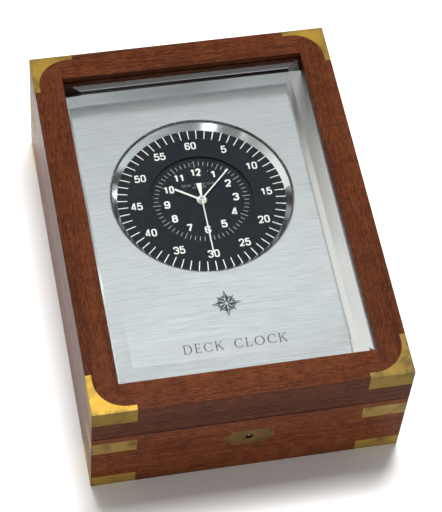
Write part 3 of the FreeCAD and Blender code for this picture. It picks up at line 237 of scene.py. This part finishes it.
def plain(name, colour, rough, texture=None, **more):
    """Paint, plastic, rubber, card or cloth."""
    n = Nodes(name)
    if texture is None:
        n.principled(Base_Color=(*colour, 1.0), Roughness=rough, **more)
        return n.material
    scale, strength = texture
    pattern = n.noise(n.place(), scale, 3.0, 0.6)
    shade = tuple(part * 0.82 for part in colour)
    n.principled(Base_Color=n.ramp(pattern, [(0.3, shade), (0.7, colour)]), Roughness=rough,
                 Normal=n.bump(pattern, strength, 0.0001), **more)
    return n.material


def brushed_panel():
    n = Nodes("brushed_steel")
    lines = n.noise(n.place((60, 3600, 60)), 1.0, 3.0, 0.8)
    broad = n.noise(n.place((24, 1700, 24), shift=(3, 5, 1)), 1.0, 2.0, 0.6)
    cloud = n.noise(n.place((6, 9, 6), shift=(1, 2, 3)), 1.0, 2.0, 0.5)
    mixed = n.math("ADD", n.math("MULTIPLY", lines, 0.75), n.math("MULTIPLY", broad, 0.25))
    colour = n.ramp(mixed, [(0.36, (0.335, 0.350, 0.357)), (0.64, (0.460, 0.473, 0.480))])
    clouded = n.blend(n.span(cloud, 0.3, 0.7, 0.0, 0.25), colour, (0.43, 0.445, 0.453))
    # Painted shade: the steel is made darker towards its top and bottom edges, standing in for the darker
    # surroundings that it reflects there.
    along = n.add("ShaderNodeSeparateXYZ", {"Vector": n.place()}).outputs["Y"]
    upper = n.span(along, -0.02, 0.05, 0.0, 0.22)
    lower = n.span(along, -0.06, -0.085, 0.0, 0.24)
    shaded = n.blend(n.math("ADD", upper, lower), clouded, (0.20, 0.207, 0.213))
    n.principled(Base_Color=shaded, Metallic=1.0, Roughness=n.span(mixed, 0.3, 0.7, 0.88, 0.80),
                 Normal=n.bump(mixed, 0.12, 0.00003))
    return n.material


def satin_frame():
    """The surround: bright on its slopes; its flat top that the lid comes down to is rougher and painted
    dark as shade.
    """
    n = Nodes("satin_frame")
    pattern = n.noise(n.place(), 500, 3.0, 0.6)
    facing = n.add("ShaderNodeSeparateXYZ", {"Vector": n.add("ShaderNodeTexCoord").outputs["Normal"]})
    flat = n.span(facing.outputs["Z"], 0.9, 0.97)
    # Painted shade: the flat top is given a dark colour.
    colour = n.blend(flat, (0.78, 0.80, 0.82), (0.30, 0.31, 0.33))
    satin = n.span(pattern, 0.3, 0.7, 0.34, 0.28)
    rough = n.math("ADD", satin, n.math("MULTIPLY", flat, 0.2))
    n.principled(Base_Color=colour, Metallic=1.0, Roughness=rough, Normal=n.soft_edges(0.0004))
    return n.material


def turned_metal():
    """The bezel's turned cone, polished a little hollow, so that its face leans back."""
    n = Nodes("turned_metal")
    pattern = n.noise(n.place(), 400, 3.0, 0.6)
    facing = n.add("ShaderNodeNewGeometry").outputs["Normal"]
    leaning = n.add("ShaderNodeVectorMath", {0: facing, 1: (0.0, 0.0, 0.26)}, operation="ADD")
    normal = n.add("ShaderNodeVectorMath", {0: leaning.outputs[0]}, operation="NORMALIZE")
    n.principled(Base_Color=(0.80, 0.84, 0.89, 1.0), Metallic=1.0,
                 Roughness=n.span(pattern, 0.3, 0.7, 0.15, 0.11), Normal=normal.outputs[0])
    return n.material


def glass(name, tint):
    """Clear glass that bends what is seen through it, but not the light of lamps or of rough surfaces."""
    n = Nodes(name)
    path = n.add("ShaderNodeLightPath")
    clear = n.add("ShaderNodeBsdfTransparent", {"Color": (*tint, 1.0)}).outputs[0]
    bending = n.add("ShaderNodeBsdfGlass", {"Color": (*tint, 1.0), "Roughness": 0.0, "IOR": 1.5}).outputs[0]

    def choose(output, otherwise, then):
        item = n.add("ShaderNodeMixShader")
        n.feed(item.inputs[0], path.outputs[output])
        n.feed(item.inputs[1], otherwise)
        n.feed(item.inputs[2], then)
        return item.outputs[0]

    mirrored = choose("Is Glossy Ray", bending, choose("Is Singular Ray", clear, bending))
    scattered = choose("Is Diffuse Ray", mirrored, clear)
    n.tree.links.new(choose("Is Shadow Ray", scattered, clear), n.output.inputs["Surface"])
    return n.material


BRASS_TONE = (0.47, 0.31, 0.065)
MATERIALS = {
    "mahogany_x": wood("mahogany_x", "x", 1.0, 0.88),
    "mahogany_y": wood("mahogany_y", "y", 2.0, 0.78),
    # Painted light: the base's boards are made much lighter than the lid's rails, offsetting the shade that
    # falls on the base near the floor.
    "mahogany_base_x": wood("mahogany_base_x", "x", 3.7, 1.42),
    "mahogany_base_y": wood("mahogany_base_y", "y", 4.3, 1.2),
    "plywood": plain("plywood", (0.34, 0.18, 0.08), 0.7, (60, 0.2)),
    "corner_brass": brass("corner_brass", (0.262, 0.168, 0.024), 0.8, 0.72, 0.5),
    "strap_brass": brass("strap_brass", (0.33, 0.215, 0.055), 0.6, 0.7, 0.7),
    "escutcheon_brass": brass("escutcheon_brass", (0.178, 0.098, 0.027), 0.6, 0.7),
    "hardware_brass": brass("hardware_brass", BRASS_TONE, 0.3, 0.5),
    "screw_steel": metal("screw_steel", (0.42, 0.42, 0.43), 0.35, (800, 0.2)),
    "lock_steel": metal("lock_steel", (0.5, 0.5, 0.51), 0.3, (500, 0.2)),
    "panel_steel": brushed_panel(),
    "surround_metal": satin_frame(),
    "bezel_metal": turned_metal(),
    "window_glass": glass("window_glass", (0.985, 0.993, 0.99)),
    "crystal_glass": glass("crystal_glass", (0.99, 0.995, 0.995)),
    "gasket_rubber": plain("gasket_rubber", (0.02, 0.02, 0.02), 0.7),
    "dial_black": plain("dial_black", (0.0055, 0.0072, 0.0125), 0.5, (2500, 0.05), Specular_IOR_Level=0.08),
    "hand_white": plain("hand_white", (0.80, 0.79, 0.74), 0.35),
    "cup_metal": metal("cup_metal", (0.55, 0.56, 0.57), 0.35, (400, 0.1)),
    "wheel_brass": metal("wheel_brass", (0.72, 0.52, 0.20), 0.28, (700, 0.1)),
    "arbor_steel": metal("arbor_steel", (0.5, 0.5, 0.52), 0.2),
    "stator_iron": metal("stator_iron", (0.3, 0.3, 0.32), 0.4, (600, 0.2)),
    "bobbin_plastic": plain("bobbin_plastic", (0.68, 0.62, 0.48), 0.5),
    "coil_copper": metal("coil_copper", (0.60, 0.22, 0.10), 0.35, (3000, 0.4)),
    "board_green": plain("board_green", (0.02, 0.16, 0.06), 0.35, (900, 0.1)),
    "can_metal": metal("can_metal", (0.6, 0.6, 0.61), 0.25),
    "battery_jacket": plain("battery_jacket", (0.02, 0.02, 0.024), 0.25),
    "holder_plastic": plain("holder_plastic", (0.015, 0.015, 0.015), 0.5),
    "contact_nickel": metal("contact_nickel", (0.6, 0.58, 0.54), 0.25),
    "knob_plastic": plain("knob_plastic", (0.03, 0.03, 0.03), 0.45),
    "print_white": plain("print_white", (0.82, 0.82, 0.79), 0.5),
    "print_pale": plain("print_pale", (0.42, 0.42, 0.41), 0.5),
    "print_grey": plain("print_grey", (0.26, 0.26, 0.27), 0.5),
    "print_blue": plain("print_blue", (0.020, 0.030, 0.040), 0.6, Specular_IOR_Level=0.1),
    "baize": plain("baize", (0.012, 0.055, 0.025), 0.95, (2500, 0.6), Sheen_Weight=0.4),
}

NODE_MATERIALS = {
    "escutcheon": "escutcheon_brass", "base_corner_straps": "strap_brass", "seconds_wheel": "arbor_steel",
    "lid_front_rail": "mahogany_x", "lid_back_rail": "mahogany_x",
    "lid_left_rail": "mahogany_y", "lid_right_rail": "mahogany_y",
    "base_front_board": "mahogany_base_x", "base_back_board": "mahogany_base_x",
    "base_left_board": "mahogany_base_y", "base_right_board": "mahogany_base_y",
    "glazing_beads": "mahogany_y",
}

for label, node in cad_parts.items():
    for material_slot in node.material_slots:
        key = NODE_MATERIALS.get(label, material_slot.material.name.split(".")[0])
        material_slot.material = MATERIALS[key]


# ---------------------------------------------------------------- printed marks

def clockwise(turn):
    """The direction at an angle in degrees, clockwise from 12 o'clock."""
    return Vector((math.sin(math.radians(turn)), math.cos(math.radians(turn))))


class Print:
    """Ink as thin raised prisms on a flat face, gathered into one mesh. Lengths are millimetres."""

    def __init__(self, top):
        self.low = top - PRINT_DEPTH * 0.5
        self.high = top + PRINT_DEPTH
        self.points = []
        self.faces = []
        self.strokes = 0

    def strip(self, left, right, closed=False):
        """A prism between two lines of points side by side; crossing strokes differ a little in height."""
        high = self.high + self.strokes % 4 * PRINT_LAYER
        self.strokes += 1
        first = len(self.points)
        for a, b in zip(left, right):
            for x, y in (a, b):
                self.points.append((x * MM, y * MM, self.low))
                self.points.append((x * MM, y * MM, high))
        count = len(left)

        def corner(index, item):
            return first + 4 * (index % count) + item

        for i in range(count if closed else count - 1):
            here, there = i, i + 1
            self.faces.append((corner(here, 1), corner(here, 3), corner(there, 3), corner(there, 1)))
            self.faces.append((corner(here, 2), corner(here, 0), corner(there, 0), corner(there, 2)))
            self.faces.append((corner(here, 0), corner(here, 1), corner(there, 1), corner(there, 0)))
            self.faces.append((corner(here, 3), corner(here, 2), corner(there, 2), corner(there, 3)))
        if not closed:
            last = count - 1
            self.faces.append((corner(0, 0), corner(0, 2), corner(0, 3), corner(0, 1)))
            self.faces.append((corner(last, 1), corner(last, 3), corner(last, 2), corner(last, 0)))

    def ribbon(self, path, width, closed=False):
        """A line of constant width along a path of (x, y) or, for a rounded corner, (x, y, radius)."""
        line = rounded(path, closed)
        left, right = [], []
        count = len(line)
        for i, point in enumerate(line):
            before = line[(i - 1) % count] if closed or i else None
            after = line[(i + 1) % count] if closed or i < count - 1 else None
            ways = []
            if before is not None:
                ways.append((point - before).normalized())
            if after is not None:
                ways.append((after - point).normalized())
            way = sum(ways, Vector((0, 0)))
            way = way.normalized() if way.length > 1e-6 else ways[0]
            reach = max(0.45, abs(way.dot(ways[0])))
            side = Vector((-way.y, way.x)) * (width / 2 / reach)
            left.append(tuple(point + side))
            right.append(tuple(point - side))
        self.strip(left, right, closed)

    def bar(self, x, y, width, height):
        """A rectangle from its lower left corner."""
        self.strip([(x, y), (x, y + height)], [(x + width, y), (x + width, y + height)])

    def spoke(self, turn, inner, outer, width, y):
        """A radial line between two distances from the point at y on the centre line."""
        way = clockwise(turn)
        centre = Vector((0, y))
        self.ribbon([tuple(centre + way * inner), tuple(centre + way * outer)], width)

    def make(self, name, material):
        mesh = bpy.data.meshes.new(name)
        mesh.from_pydata(self.points, [], self.faces)
        mesh.validate()
        mesh.update()
        mesh.materials.append(MATERIALS[material])
        item = bpy.data.objects.new(name, mesh)
        bpy.context.scene.collection.objects.link(item)
        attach(item, "case")


def rounded(path, closed):
    """The path as vectors, its corners with a radius drawn as short curves."""
    corners = [(Vector(item[:2]), item[2] if len(item) > 2 else 0.0) for item in path]
    count = len(corners)
    line = []
    for i, (point, radius) in enumerate(corners):
        if radius == 0 or (not closed and i in (0, count - 1)):
            line.append(point)
            continue
        before = corners[i - 1][0]
        after = corners[(i + 1) % count][0]
        first = point + (before - point).normalized() * min(radius, (before - point).length * 0.49)
        last = point + (after - point).normalized() * min(radius, (after - point).length * 0.49)
        for step in range(7):
            t = step / 6
            line.append(first * (1 - t) ** 2 + point * 2 * t * (1 - t) + last * t ** 2)
    return line


R = "round"
STROKES = {
    "0": [("loop", [(0, 0, R), (1, 0, R), (1, 1, R), (0, 1, R)])],
    "1": [("line", [(0.62, 0), (0.62, 1)]), ("line", [(0.1, 0.74), (0.6, 0.98)])],
    "2": [("line", [(0, 0.72), (0, 1, R), (1, 1, R), (1, 0.56, R), (0, 0.02), (0, 0), (1, 0)])],
    "3": [("line", [(0, 0.76), (0, 1, R), (1, 1, R), (1, 0.53, R), (0.4, 0.53)]),
          ("line", [(0.4, 0.53), (1, 0.53, R), (1, 0, R), (0, 0, R), (0, 0.24)])],
    "4": [("line", [(0.76, 0), (0.76, 1), (0.62, 1), (0, 0.3), (0, 0.26), (1.05, 0.26)])],
    "5": [("line", [(0.95, 1), (0.08, 1), (0.02, 0.56), (0.2, 0.6), (1, 0.62, R), (1, 0, R), (0, 0, R),
                    (0, 0.22)])],
    "6": [("loop", [(0, 0, R), (1, 0, R), (1, 0.58, R), (0, 0.58, R)]),
          ("line", [(0, 0.3), (0, 1, R), (1, 1, R), (1, 0.78)])],
    "7": [("line", [(0, 1), (1, 1), (1, 0.94), (0.34, 0)])],
    "8": [("loop", [(0, 0, R), (1, 0, R), (1, 0.54, R), (0, 0.54, R)]),
          ("loop", [(0.05, 0.54, R), (0.95, 0.54, R), (0.95, 1, R), (0.05, 1, R)])],
    "9": [("loop", [(0, 0.42, R), (1, 0.42, R), (1, 1, R), (0, 1, R)]),
          ("line", [(1, 0.7), (1, 0, R), (0, 0, R), (0, 0.22)])],
    "A": [("line", [(0, 0), (0.5, 1), (1, 0)]), ("line", [(0.18, 0.34), (0.82, 0.34)])],
    "C": [("line", [(1, 0.76), (1, 1, R), (0, 1, R), (0, 0, R), (1, 0, R), (1, 0.24)])],
    "D": [("loop", [(0, 0), (1, 0, R), (1, 1, R), (0, 1)])],
    "E": [("line", [(1, 1), (0, 1), (0, 0), (1, 0)]), ("line", [(0, 0.5), (0.85, 0.5)])],
    "I": [("line", [(0.5, 0), (0.5, 1)])],
    "K": [("line", [(0, 0), (0, 1)]), ("line", [(1, 1), (0.05, 0.42)]), ("line", [(0.35, 0.6), (1, 0)])],
    "M": [("line", [(0, 0), (0, 1), (0.5, 0.3), (1, 1), (1, 0)])],
    "N": [("line", [(0, 0), (0, 1), (1, 0), (1, 1)])],
    "P": [("line", [(0, 0), (0, 1), (1, 1, R), (1, 0.46, R), (0, 0.46)])],
    "R": [("line", [(0, 0), (0, 1), (1, 1, R), (1, 0.46, R), (0, 0.46)]), ("line", [(0.5, 0.46), (1, 0)])],
    "T": [("line", [(0, 1), (1, 1)]), ("line", [(0.5, 1), (0.5, 0)])],
}


def write(ink, words, x, y, width, height, stroke, gap):
    """Upright lettering centred on x and y; width is one letter's and gap the space between two."""
    whole = len(words) * width + (len(words) - 1) * gap
    for place, letter in enumerate(words):
        left = x - whole / 2 + place * (width + gap) + stroke / 2
        low = y - height / 2 + stroke / 2
        across, up = width - stroke, height - stroke
        for kind, path in STROKES.get(letter, []):
            line = [(left + item[0] * across, low + item[1] * up, *([across * 0.5] if len(item) > 2 else []))
                    for item in path]
            ink.ribbon(line, stroke, kind == "loop")


# The dial's marks in millimetres. A tick is its inner end, outer end and width, numerals are the radius of
# their middles, lettering is a letter's width, height, stroke and gap, and words are the text, its middle
# across and its middle above the dial's centre.
DIAL = DIAL_Y / MM
MINUTES = 60
MINUTE_ANGLE = 6
OUTER_TICK = (40.6, 46.2, 0.5)
HOUR_TICK = (22.5, 26.8, 0.3)
INNER_TICK = (23.5, 26.1, 0.3)
OUTER_NUMERALS = 35.9
OUTER_LETTERING = (2.9, 4.8, 0.78, 0.45)
INNER_NUMERALS = 19.1
INNER_LETTERING = (3.3, 4.9, 0.95, 0.35)
NARROW_LETTERING = (2.7, 4.9, 0.95, 0.35)
WORD_LETTERING = (0.98, 1.35, 0.17, 0.33)
WORDS = (("DECK TIMEPIECE", 0, 10.9), ("MARINE", 0.45, 9.05))


def numeral(ink, words, step, radius, lettering):
    """A number of the dial, upright at an hour's place."""
    turn = math.radians(step * 5 * MINUTE_ANGLE)
    write(ink, words, radius * math.sin(turn), DIAL + radius * math.cos(turn), *lettering)


outer_ticks = Print(RING_TOP)
inner_ticks = Print(DISC_TOP)
for minute in range(MINUTES):
    outer_ticks.spoke(minute * MINUTE_ANGLE, *OUTER_TICK, DIAL)
    inner_ticks.spoke(minute * MINUTE_ANGLE, *(INNER_TICK if minute % 5 else HOUR_TICK), DIAL)

outer_numerals = Print(RING_TOP)
inner_numerals = Print(DISC_TOP)
for step in range(1, 13):
    hour_lettering = INNER_LETTERING if step < 10 else NARROW_LETTERING
    numeral(outer_numerals, str(step * 5), step, OUTER_NUMERALS, OUTER_LETTERING)
    numeral(inner_numerals, str(step), step, INNER_NUMERALS, hour_lettering)

dial_words = Print(DISC_TOP)
for words, across, above in WORDS:
    write(dial_words, words, across, DIAL + above, *WORD_LETTERING)

outer_ticks.make("dial_outer_ticks", "print_white")
outer_numerals.make("dial_outer_numerals", "print_white")
inner_ticks.make("dial_inner_ticks", "print_pale")
inner_numerals.make("dial_inner_numerals", "print_white")
dial_words.make("dial_words", "print_grey")


def ellipse(x, y, across, up, start, end, steps=28):
    """Points of an ellipse between two angles in degrees, anticlockwise from three o'clock."""
    turns = [math.radians(start + (end - start) * i / steps) for i in range(steps + 1)]
    return [(x + across * math.cos(turn), y + up * math.sin(turn)) for turn in turns]


class Roman:
    """Thin serif capitals; x is the left edge of the letter and low its foot."""

    CAP, STEM, HAIR, SERIF = 5.5, 0.6, 0.28, 1.35

    def __init__(self, ink, low):
        self.ink = ink
        self.low = low

    def stem(self, x):
        self.ink.bar(x, self.low, self.STEM, self.CAP)
        for foot in (self.low, self.low + self.CAP - self.HAIR):
            self.ink.bar(x + self.STEM / 2 - self.SERIF / 2, foot, self.SERIF, self.HAIR)

    def hair(self, x, y, length):
        self.ink.bar(x, self.low + y, length, self.HAIR)

    def beak(self, x, y, height):
        self.ink.bar(x, self.low + y, self.HAIR, height)

    def bowl(self, x, width, start, end):
        high = self.low + self.CAP / 2
        outer = ellipse(x, high, width, self.CAP / 2, start, end)
        inner = ellipse(x, high, width - self.STEM * 1.15, self.CAP / 2 - self.HAIR, start, end)
        self.ink.strip(outer, inner)

    def letter_d(self, x):
        self.stem(x + 0.35)
        self.hair(x + 0.35, self.CAP - self.HAIR, 1.75)
        self.hair(x + 0.35, 0, 1.75)
        self.bowl(x + 2.05, 2.55, -90, 90)
        return 4.6

    def letter_e(self, x):
        self.stem(x + 0.35)
        self.hair(x + 0.35, self.CAP - self.HAIR, 2.6)
        self.hair(x + 0.35, self.CAP * 0.5, 2.1)
        self.hair(x + 0.35, 0, 2.75)
        self.beak(x + 2.75, self.CAP - 1.1, 1.1)
        self.beak(x + 2.25, self.CAP * 0.5 - 0.45, 1.1)
        self.beak(x + 2.95, 0, 1.2)
        return 3.25

    def letter_l(self, x):
        self.stem(x + 0.35)
        self.hair(x + 0.35, 0, 2.75)
        self.beak(x + 2.95, 0, 1.3)
        return 3.25

    def letter_c(self, x):
        self.bowl(x + 2.5, 2.5, 48, 312)
        self.beak(x + 4.05, self.CAP * 0.5 + 1.0, 1.6)
        self.beak(x + 4.05, self.CAP * 0.5 - 2.6, 1.3)
        return 4.5

    def letter_o(self, x):
        half = self.CAP / 2
        outer = ellipse(x + 2.7, self.low + half, 2.7, half, 0, 350, 35)
        inner = ellipse(x + 2.7, self.low + half, 2.7 - self.STEM * 1.15, half - self.HAIR, 0, 350, 35)
        self.ink.strip(outer, inner, True)
        return 5.4

    def letter_k(self, x):
        self.stem(x + 0.35)
        arm = [(x + 3.6, self.low + self.CAP - self.HAIR / 2), (x + 0.9, self.low + self.CAP * 0.42)]
        leg = [(x + 1.75, self.low + self.CAP * 0.6), (x + 3.85, self.low + self.HAIR / 2)]
        self.ink.ribbon(arm, self.HAIR * 1.1)
        self.ink.ribbon(leg, self.STEM)
        self.hair(x + 2.95, self.CAP - self.HAIR, self.SERIF)
        self.hair(x + 3.1, 0, self.SERIF)
        return 4.35

    def write(self, words, centre, gap, space):
        """Letters by name, one after another; the line is centred."""
        spare = Roman(Print(0.0), 0.0)
        widths = [space if item == " " else getattr(spare, "letter_" + item)(0.0) for item in words]
        x = centre - (sum(widths) + gap * (len(words) - 1)) / 2
        for item, width in zip(words, widths):
            if item != " ":
                getattr(self, "letter_" + item)(x)
            x += width + gap


INSCRIPTION_Y = -67.6
LETTER_GAP = 1.5
WORD_GAP = 2.75
inscription = Print(PANEL_TOP)
Roman(inscription, INSCRIPTION_Y - Roman.CAP / 2).write("deck clock", 0.0, LETTER_GAP, WORD_GAP)
inscription.make("panel_inscription", "print_blue")

# The compass star in millimetres. A point is the distance of its tip, the distance of its shoulder and the
# shoulder's half width; a circle is its radius and line.
STAR_Y = -42.7
LONG_POINT = (7.75, 2.4, 1.55)
SHORT_POINT = (6.2, 2.3, 1.1)
OUTER_CIRCLE = (4.55, 0.42)
INNER_CIRCLE = (3.65, 0.26)
MARKS = 32
MARK_WIDTH = 0.22
compass = Print(PANEL_TOP)


def circle(radius, width):
    outer, inner = radius + width / 2, radius - width / 2
    compass.strip(ellipse(0, STAR_Y, outer, outer, 0, 355, 71),
                  ellipse(0, STAR_Y, inner, inner, 0, 355, 71), True)


def star_point(turn, tip, waist, half):
    """One point of the star: an outlined kite with one half inked."""
    way = clockwise(turn)
    side = Vector((way.y, -way.x))
    centre = Vector((0, STAR_Y))
    heart = centre + way * 0.9
    shoulder = centre + way * waist
    end = centre + way * tip
    compass.strip([tuple(heart), tuple(shoulder), tuple(end)],
                  [tuple(heart + side * 0.05), tuple(shoulder + side * half), tuple(end + side * 0.02)])
    compass.ribbon([tuple(heart), tuple(shoulder - side * half), tuple(end)], 0.36)


for quarter in range(4):
    star_point(quarter * 90, *LONG_POINT)
    star_point(quarter * 90 + 45, *SHORT_POINT)
circle(*OUTER_CIRCLE)
circle(*INNER_CIRCLE)
for mark in range(MARKS):
    compass.spoke(mark * 360 / MARKS, INNER_CIRCLE[0], OUTER_CIRCLE[0], MARK_WIDTH, STAR_Y)
compass.make("panel_compass_star", "print_blue")


# ---------------------------------------------------------------- baize

def felt():
    """The pad under the box, a sheet whose nap stands unevenly."""
    low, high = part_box("baize_pad")
    rng = random.Random(7)
    columns, rows = 34, 49
    points, faces = [], []
    for level in (low[2], high[2]):
        for j in range(rows + 1):
            for i in range(columns + 1):
                x = low[0] + (high[0] - low[0]) * i / columns
                y = low[1] + (high[1] - low[1]) * j / rows
                rough = rng.uniform(0, 0.12 * MM) if level == low[2] else 0.0
                points.append((x, y, level + rough))
    layer = (columns + 1) * (rows + 1)

    def at(i, j, level):
        return level * layer + j * (columns + 1) + i

    for j in range(rows):
        for i in range(columns):
            faces.append((at(i, j, 0), at(i, j + 1, 0), at(i + 1, j + 1, 0), at(i + 1, j, 0)))
            faces.append((at(i, j, 1), at(i + 1, j, 1), at(i + 1, j + 1, 1), at(i, j + 1, 1)))
    for i in range(columns):
        faces.append((at(i, 0, 0), at(i + 1, 0, 0), at(i + 1, 0, 1), at(i, 0, 1)))
        faces.append((at(i + 1, rows, 0), at(i, rows, 0), at(i, rows, 1), at(i + 1, rows, 1)))
    for j in range(rows):
        faces.append((at(0, j + 1, 0), at(0, j, 0), at(0, j, 1), at(0, j + 1, 1)))
        faces.append((at(columns, j, 0), at(columns, j + 1, 0), at(columns, j + 1, 1), at(columns, j, 1)))
    mesh = bpy.data.meshes.new("felt_pad")
    mesh.from_pydata(points, [], faces)
    mesh.materials.append(MATERIALS["baize"])
    item = bpy.data.objects.new("felt_pad", mesh)
    bpy.context.scene.collection.objects.link(item)
    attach(item, "case")
    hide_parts("baize_pad")


felt()


# ---------------------------------------------------------------- floor, lamps and camera

def floor():
    mesh = bpy.data.meshes.new("floor")
    reach = 6.0
    corners = [(-reach, -reach, 0), (reach, -reach, 0), (reach, reach, 0), (-reach, reach, 0)]
    mesh.from_pydata(corners, [], [(0, 1, 2, 3)])
    mesh.materials.append(plain("floor_white", (0.95, 0.95, 0.95), 0.45))
    item = bpy.data.objects.new("floor", mesh)
    bpy.context.scene.collection.objects.link(item)


def softbox(name, where, target, size, watts, colour=(1, 1, 1), lit=()):
    """A square lamp; lit names the only nodes that it lights, if it doesn't light everything."""
    data = bpy.data.lights.new(name, "AREA")
    data.shape = "RECTANGLE"
    data.size, data.size_y = size
    data.energy = watts
    data.color = colour
    item = bpy.data.objects.new(name, data)
    item.location = where
    way = Vector(target) - Vector(where)
    item.rotation_euler = way.to_track_quat("-Z", "Y").to_euler()
    bpy.context.scene.collection.objects.link(item)
    if lit:
        only = bpy.data.collections.new(name + "_receivers")
        for label in lit:
            only.objects.link(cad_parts[label])
        item.light_linking.receiver_collection = only


def sky():
    """The room: pale walls, a dark ceiling and a soft glow high up behind."""
    world = bpy.data.worlds.new("room")
    world.use_nodes = True
    tree = world.node_tree
    tree.nodes.clear()

    def add(kind, **settings):
        item = tree.nodes.new(kind)
        for name, setting in settings.items():
            setattr(item, name, setting)
        return item

    def span(source, low, high, to_low, to_high):
        item = add("ShaderNodeMapRange", interpolation_type="SMOOTHSTEP")
        tree.links.new(source, item.inputs["Value"])
        settings = {"From Min": low, "From Max": high, "To Min": to_low, "To Max": to_high}
        for name, setting in settings.items():
            item.inputs[name].default_value = setting
        return item.outputs["Result"]

    def product(first, second):
        item = add("ShaderNodeMath", operation="MULTIPLY")
        tree.links.new(first, item.inputs[0])
        tree.links.new(second, item.inputs[1])
        return item.outputs[0]

    def mix(factor, first, second):
        item = add("ShaderNodeMix", data_type="FLOAT")
        for socket, source in zip(item.inputs, (factor, None, first, second)):
            if source is not None:
                tree.links.new(source, socket)
        return item.outputs[0]

    split = add("ShaderNodeSeparateXYZ")
    tree.links.new(add("ShaderNodeTexCoord").outputs["Generated"], split.inputs[0])
    height = split.outputs["Z"]
    front = span(height, 0.46, 0.78, 0.75, 0.05)
    back = span(height, 0.62, 0.72, 1.25, 0.04)
    level = mix(span(split.outputs["Y"], -0.25, 0.25, 0.0, 1.0), front, back)
    glow = product(span(height, 0.848, 0.880, 0.0, 1.7), span(split.outputs["Y"], 0.33, 0.42, 0.0, 1.0))
    warm = add("ShaderNodeValToRGB")
    tree.links.new(span(split.outputs["X"], -0.9, 0.3, 0.0, 1.0), warm.inputs[0])
    warm.color_ramp.elements[0].color = (1.0, 0.95, 0.87, 1.0)
    warm.color_ramp.elements[1].color = (0.98, 0.99, 1.0, 1.0)
    light = add("ShaderNodeBackground")
    tree.links.new(warm.outputs[0], light.inputs["Color"])
    total = add("ShaderNodeMath", operation="ADD")
    tree.links.new(level, total.inputs[0])
    tree.links.new(glow, total.inputs[1])
    tree.links.new(total.outputs[0], light.inputs["Strength"])
    tree.links.new(light.outputs[0], add("ShaderNodeOutputWorld").inputs["Surface"])
    bpy.context.scene.world = world


floor()
sky()
GROUND = (0.0, 0.0, 0.0)
BEZEL = (0.0, 0.05, 0.045)
PANEL = (0.0, 0.0, 0.048)
KEYHOLE = (0.0, -0.105, 0.03)
DIAL_MIDDLE = (0.0, 0.03, 0.05)
softbox("key", (0.02, 0.82, 3.0), GROUND, (0.81, 0.88), 76.0)
softbox("key_side", (0.64, 0.93, 3.0), GROUND, (0.5, 0.5), 38.0)
softbox("highlight", (-0.41, -1.44, 1.29), BEZEL, (0.14, 0.14), 9.0, lit=("bezel_ring",))
softbox("panel_lamp", (0.0, -0.25, 2.5), PANEL, (0.6, 0.6), 60.0, lit=("steel_panel",))
softbox("keyhole_lamp", (-0.05, -0.7, 0.35), KEYHOLE, (0.1, 0.1), 1.5, lit=("lock_case",))
softbox("left_card", (-1.2, -0.55, 1.5), DIAL_MIDDLE, (0.5, 0.5), 1.2, (1.0, 0.95, 0.86))

camera_data = bpy.data.cameras.new("camera")
camera_data.lens = 147.69
camera_data.sensor_width = 36.0
camera_data.sensor_fit = "AUTO"
camera = bpy.data.objects.new("camera", camera_data)
camera.location = (-0.16534, -0.60347, 0.98798)
camera.rotation_euler = [math.radians(turn) for turn in (33.05359, -3.40020, -10.68047)]
bpy.context.scene.collection.objects.link(camera)
bpy.context.scene.camera = camera
bpy.context.scene.view_settings.view_transform = "Standard"

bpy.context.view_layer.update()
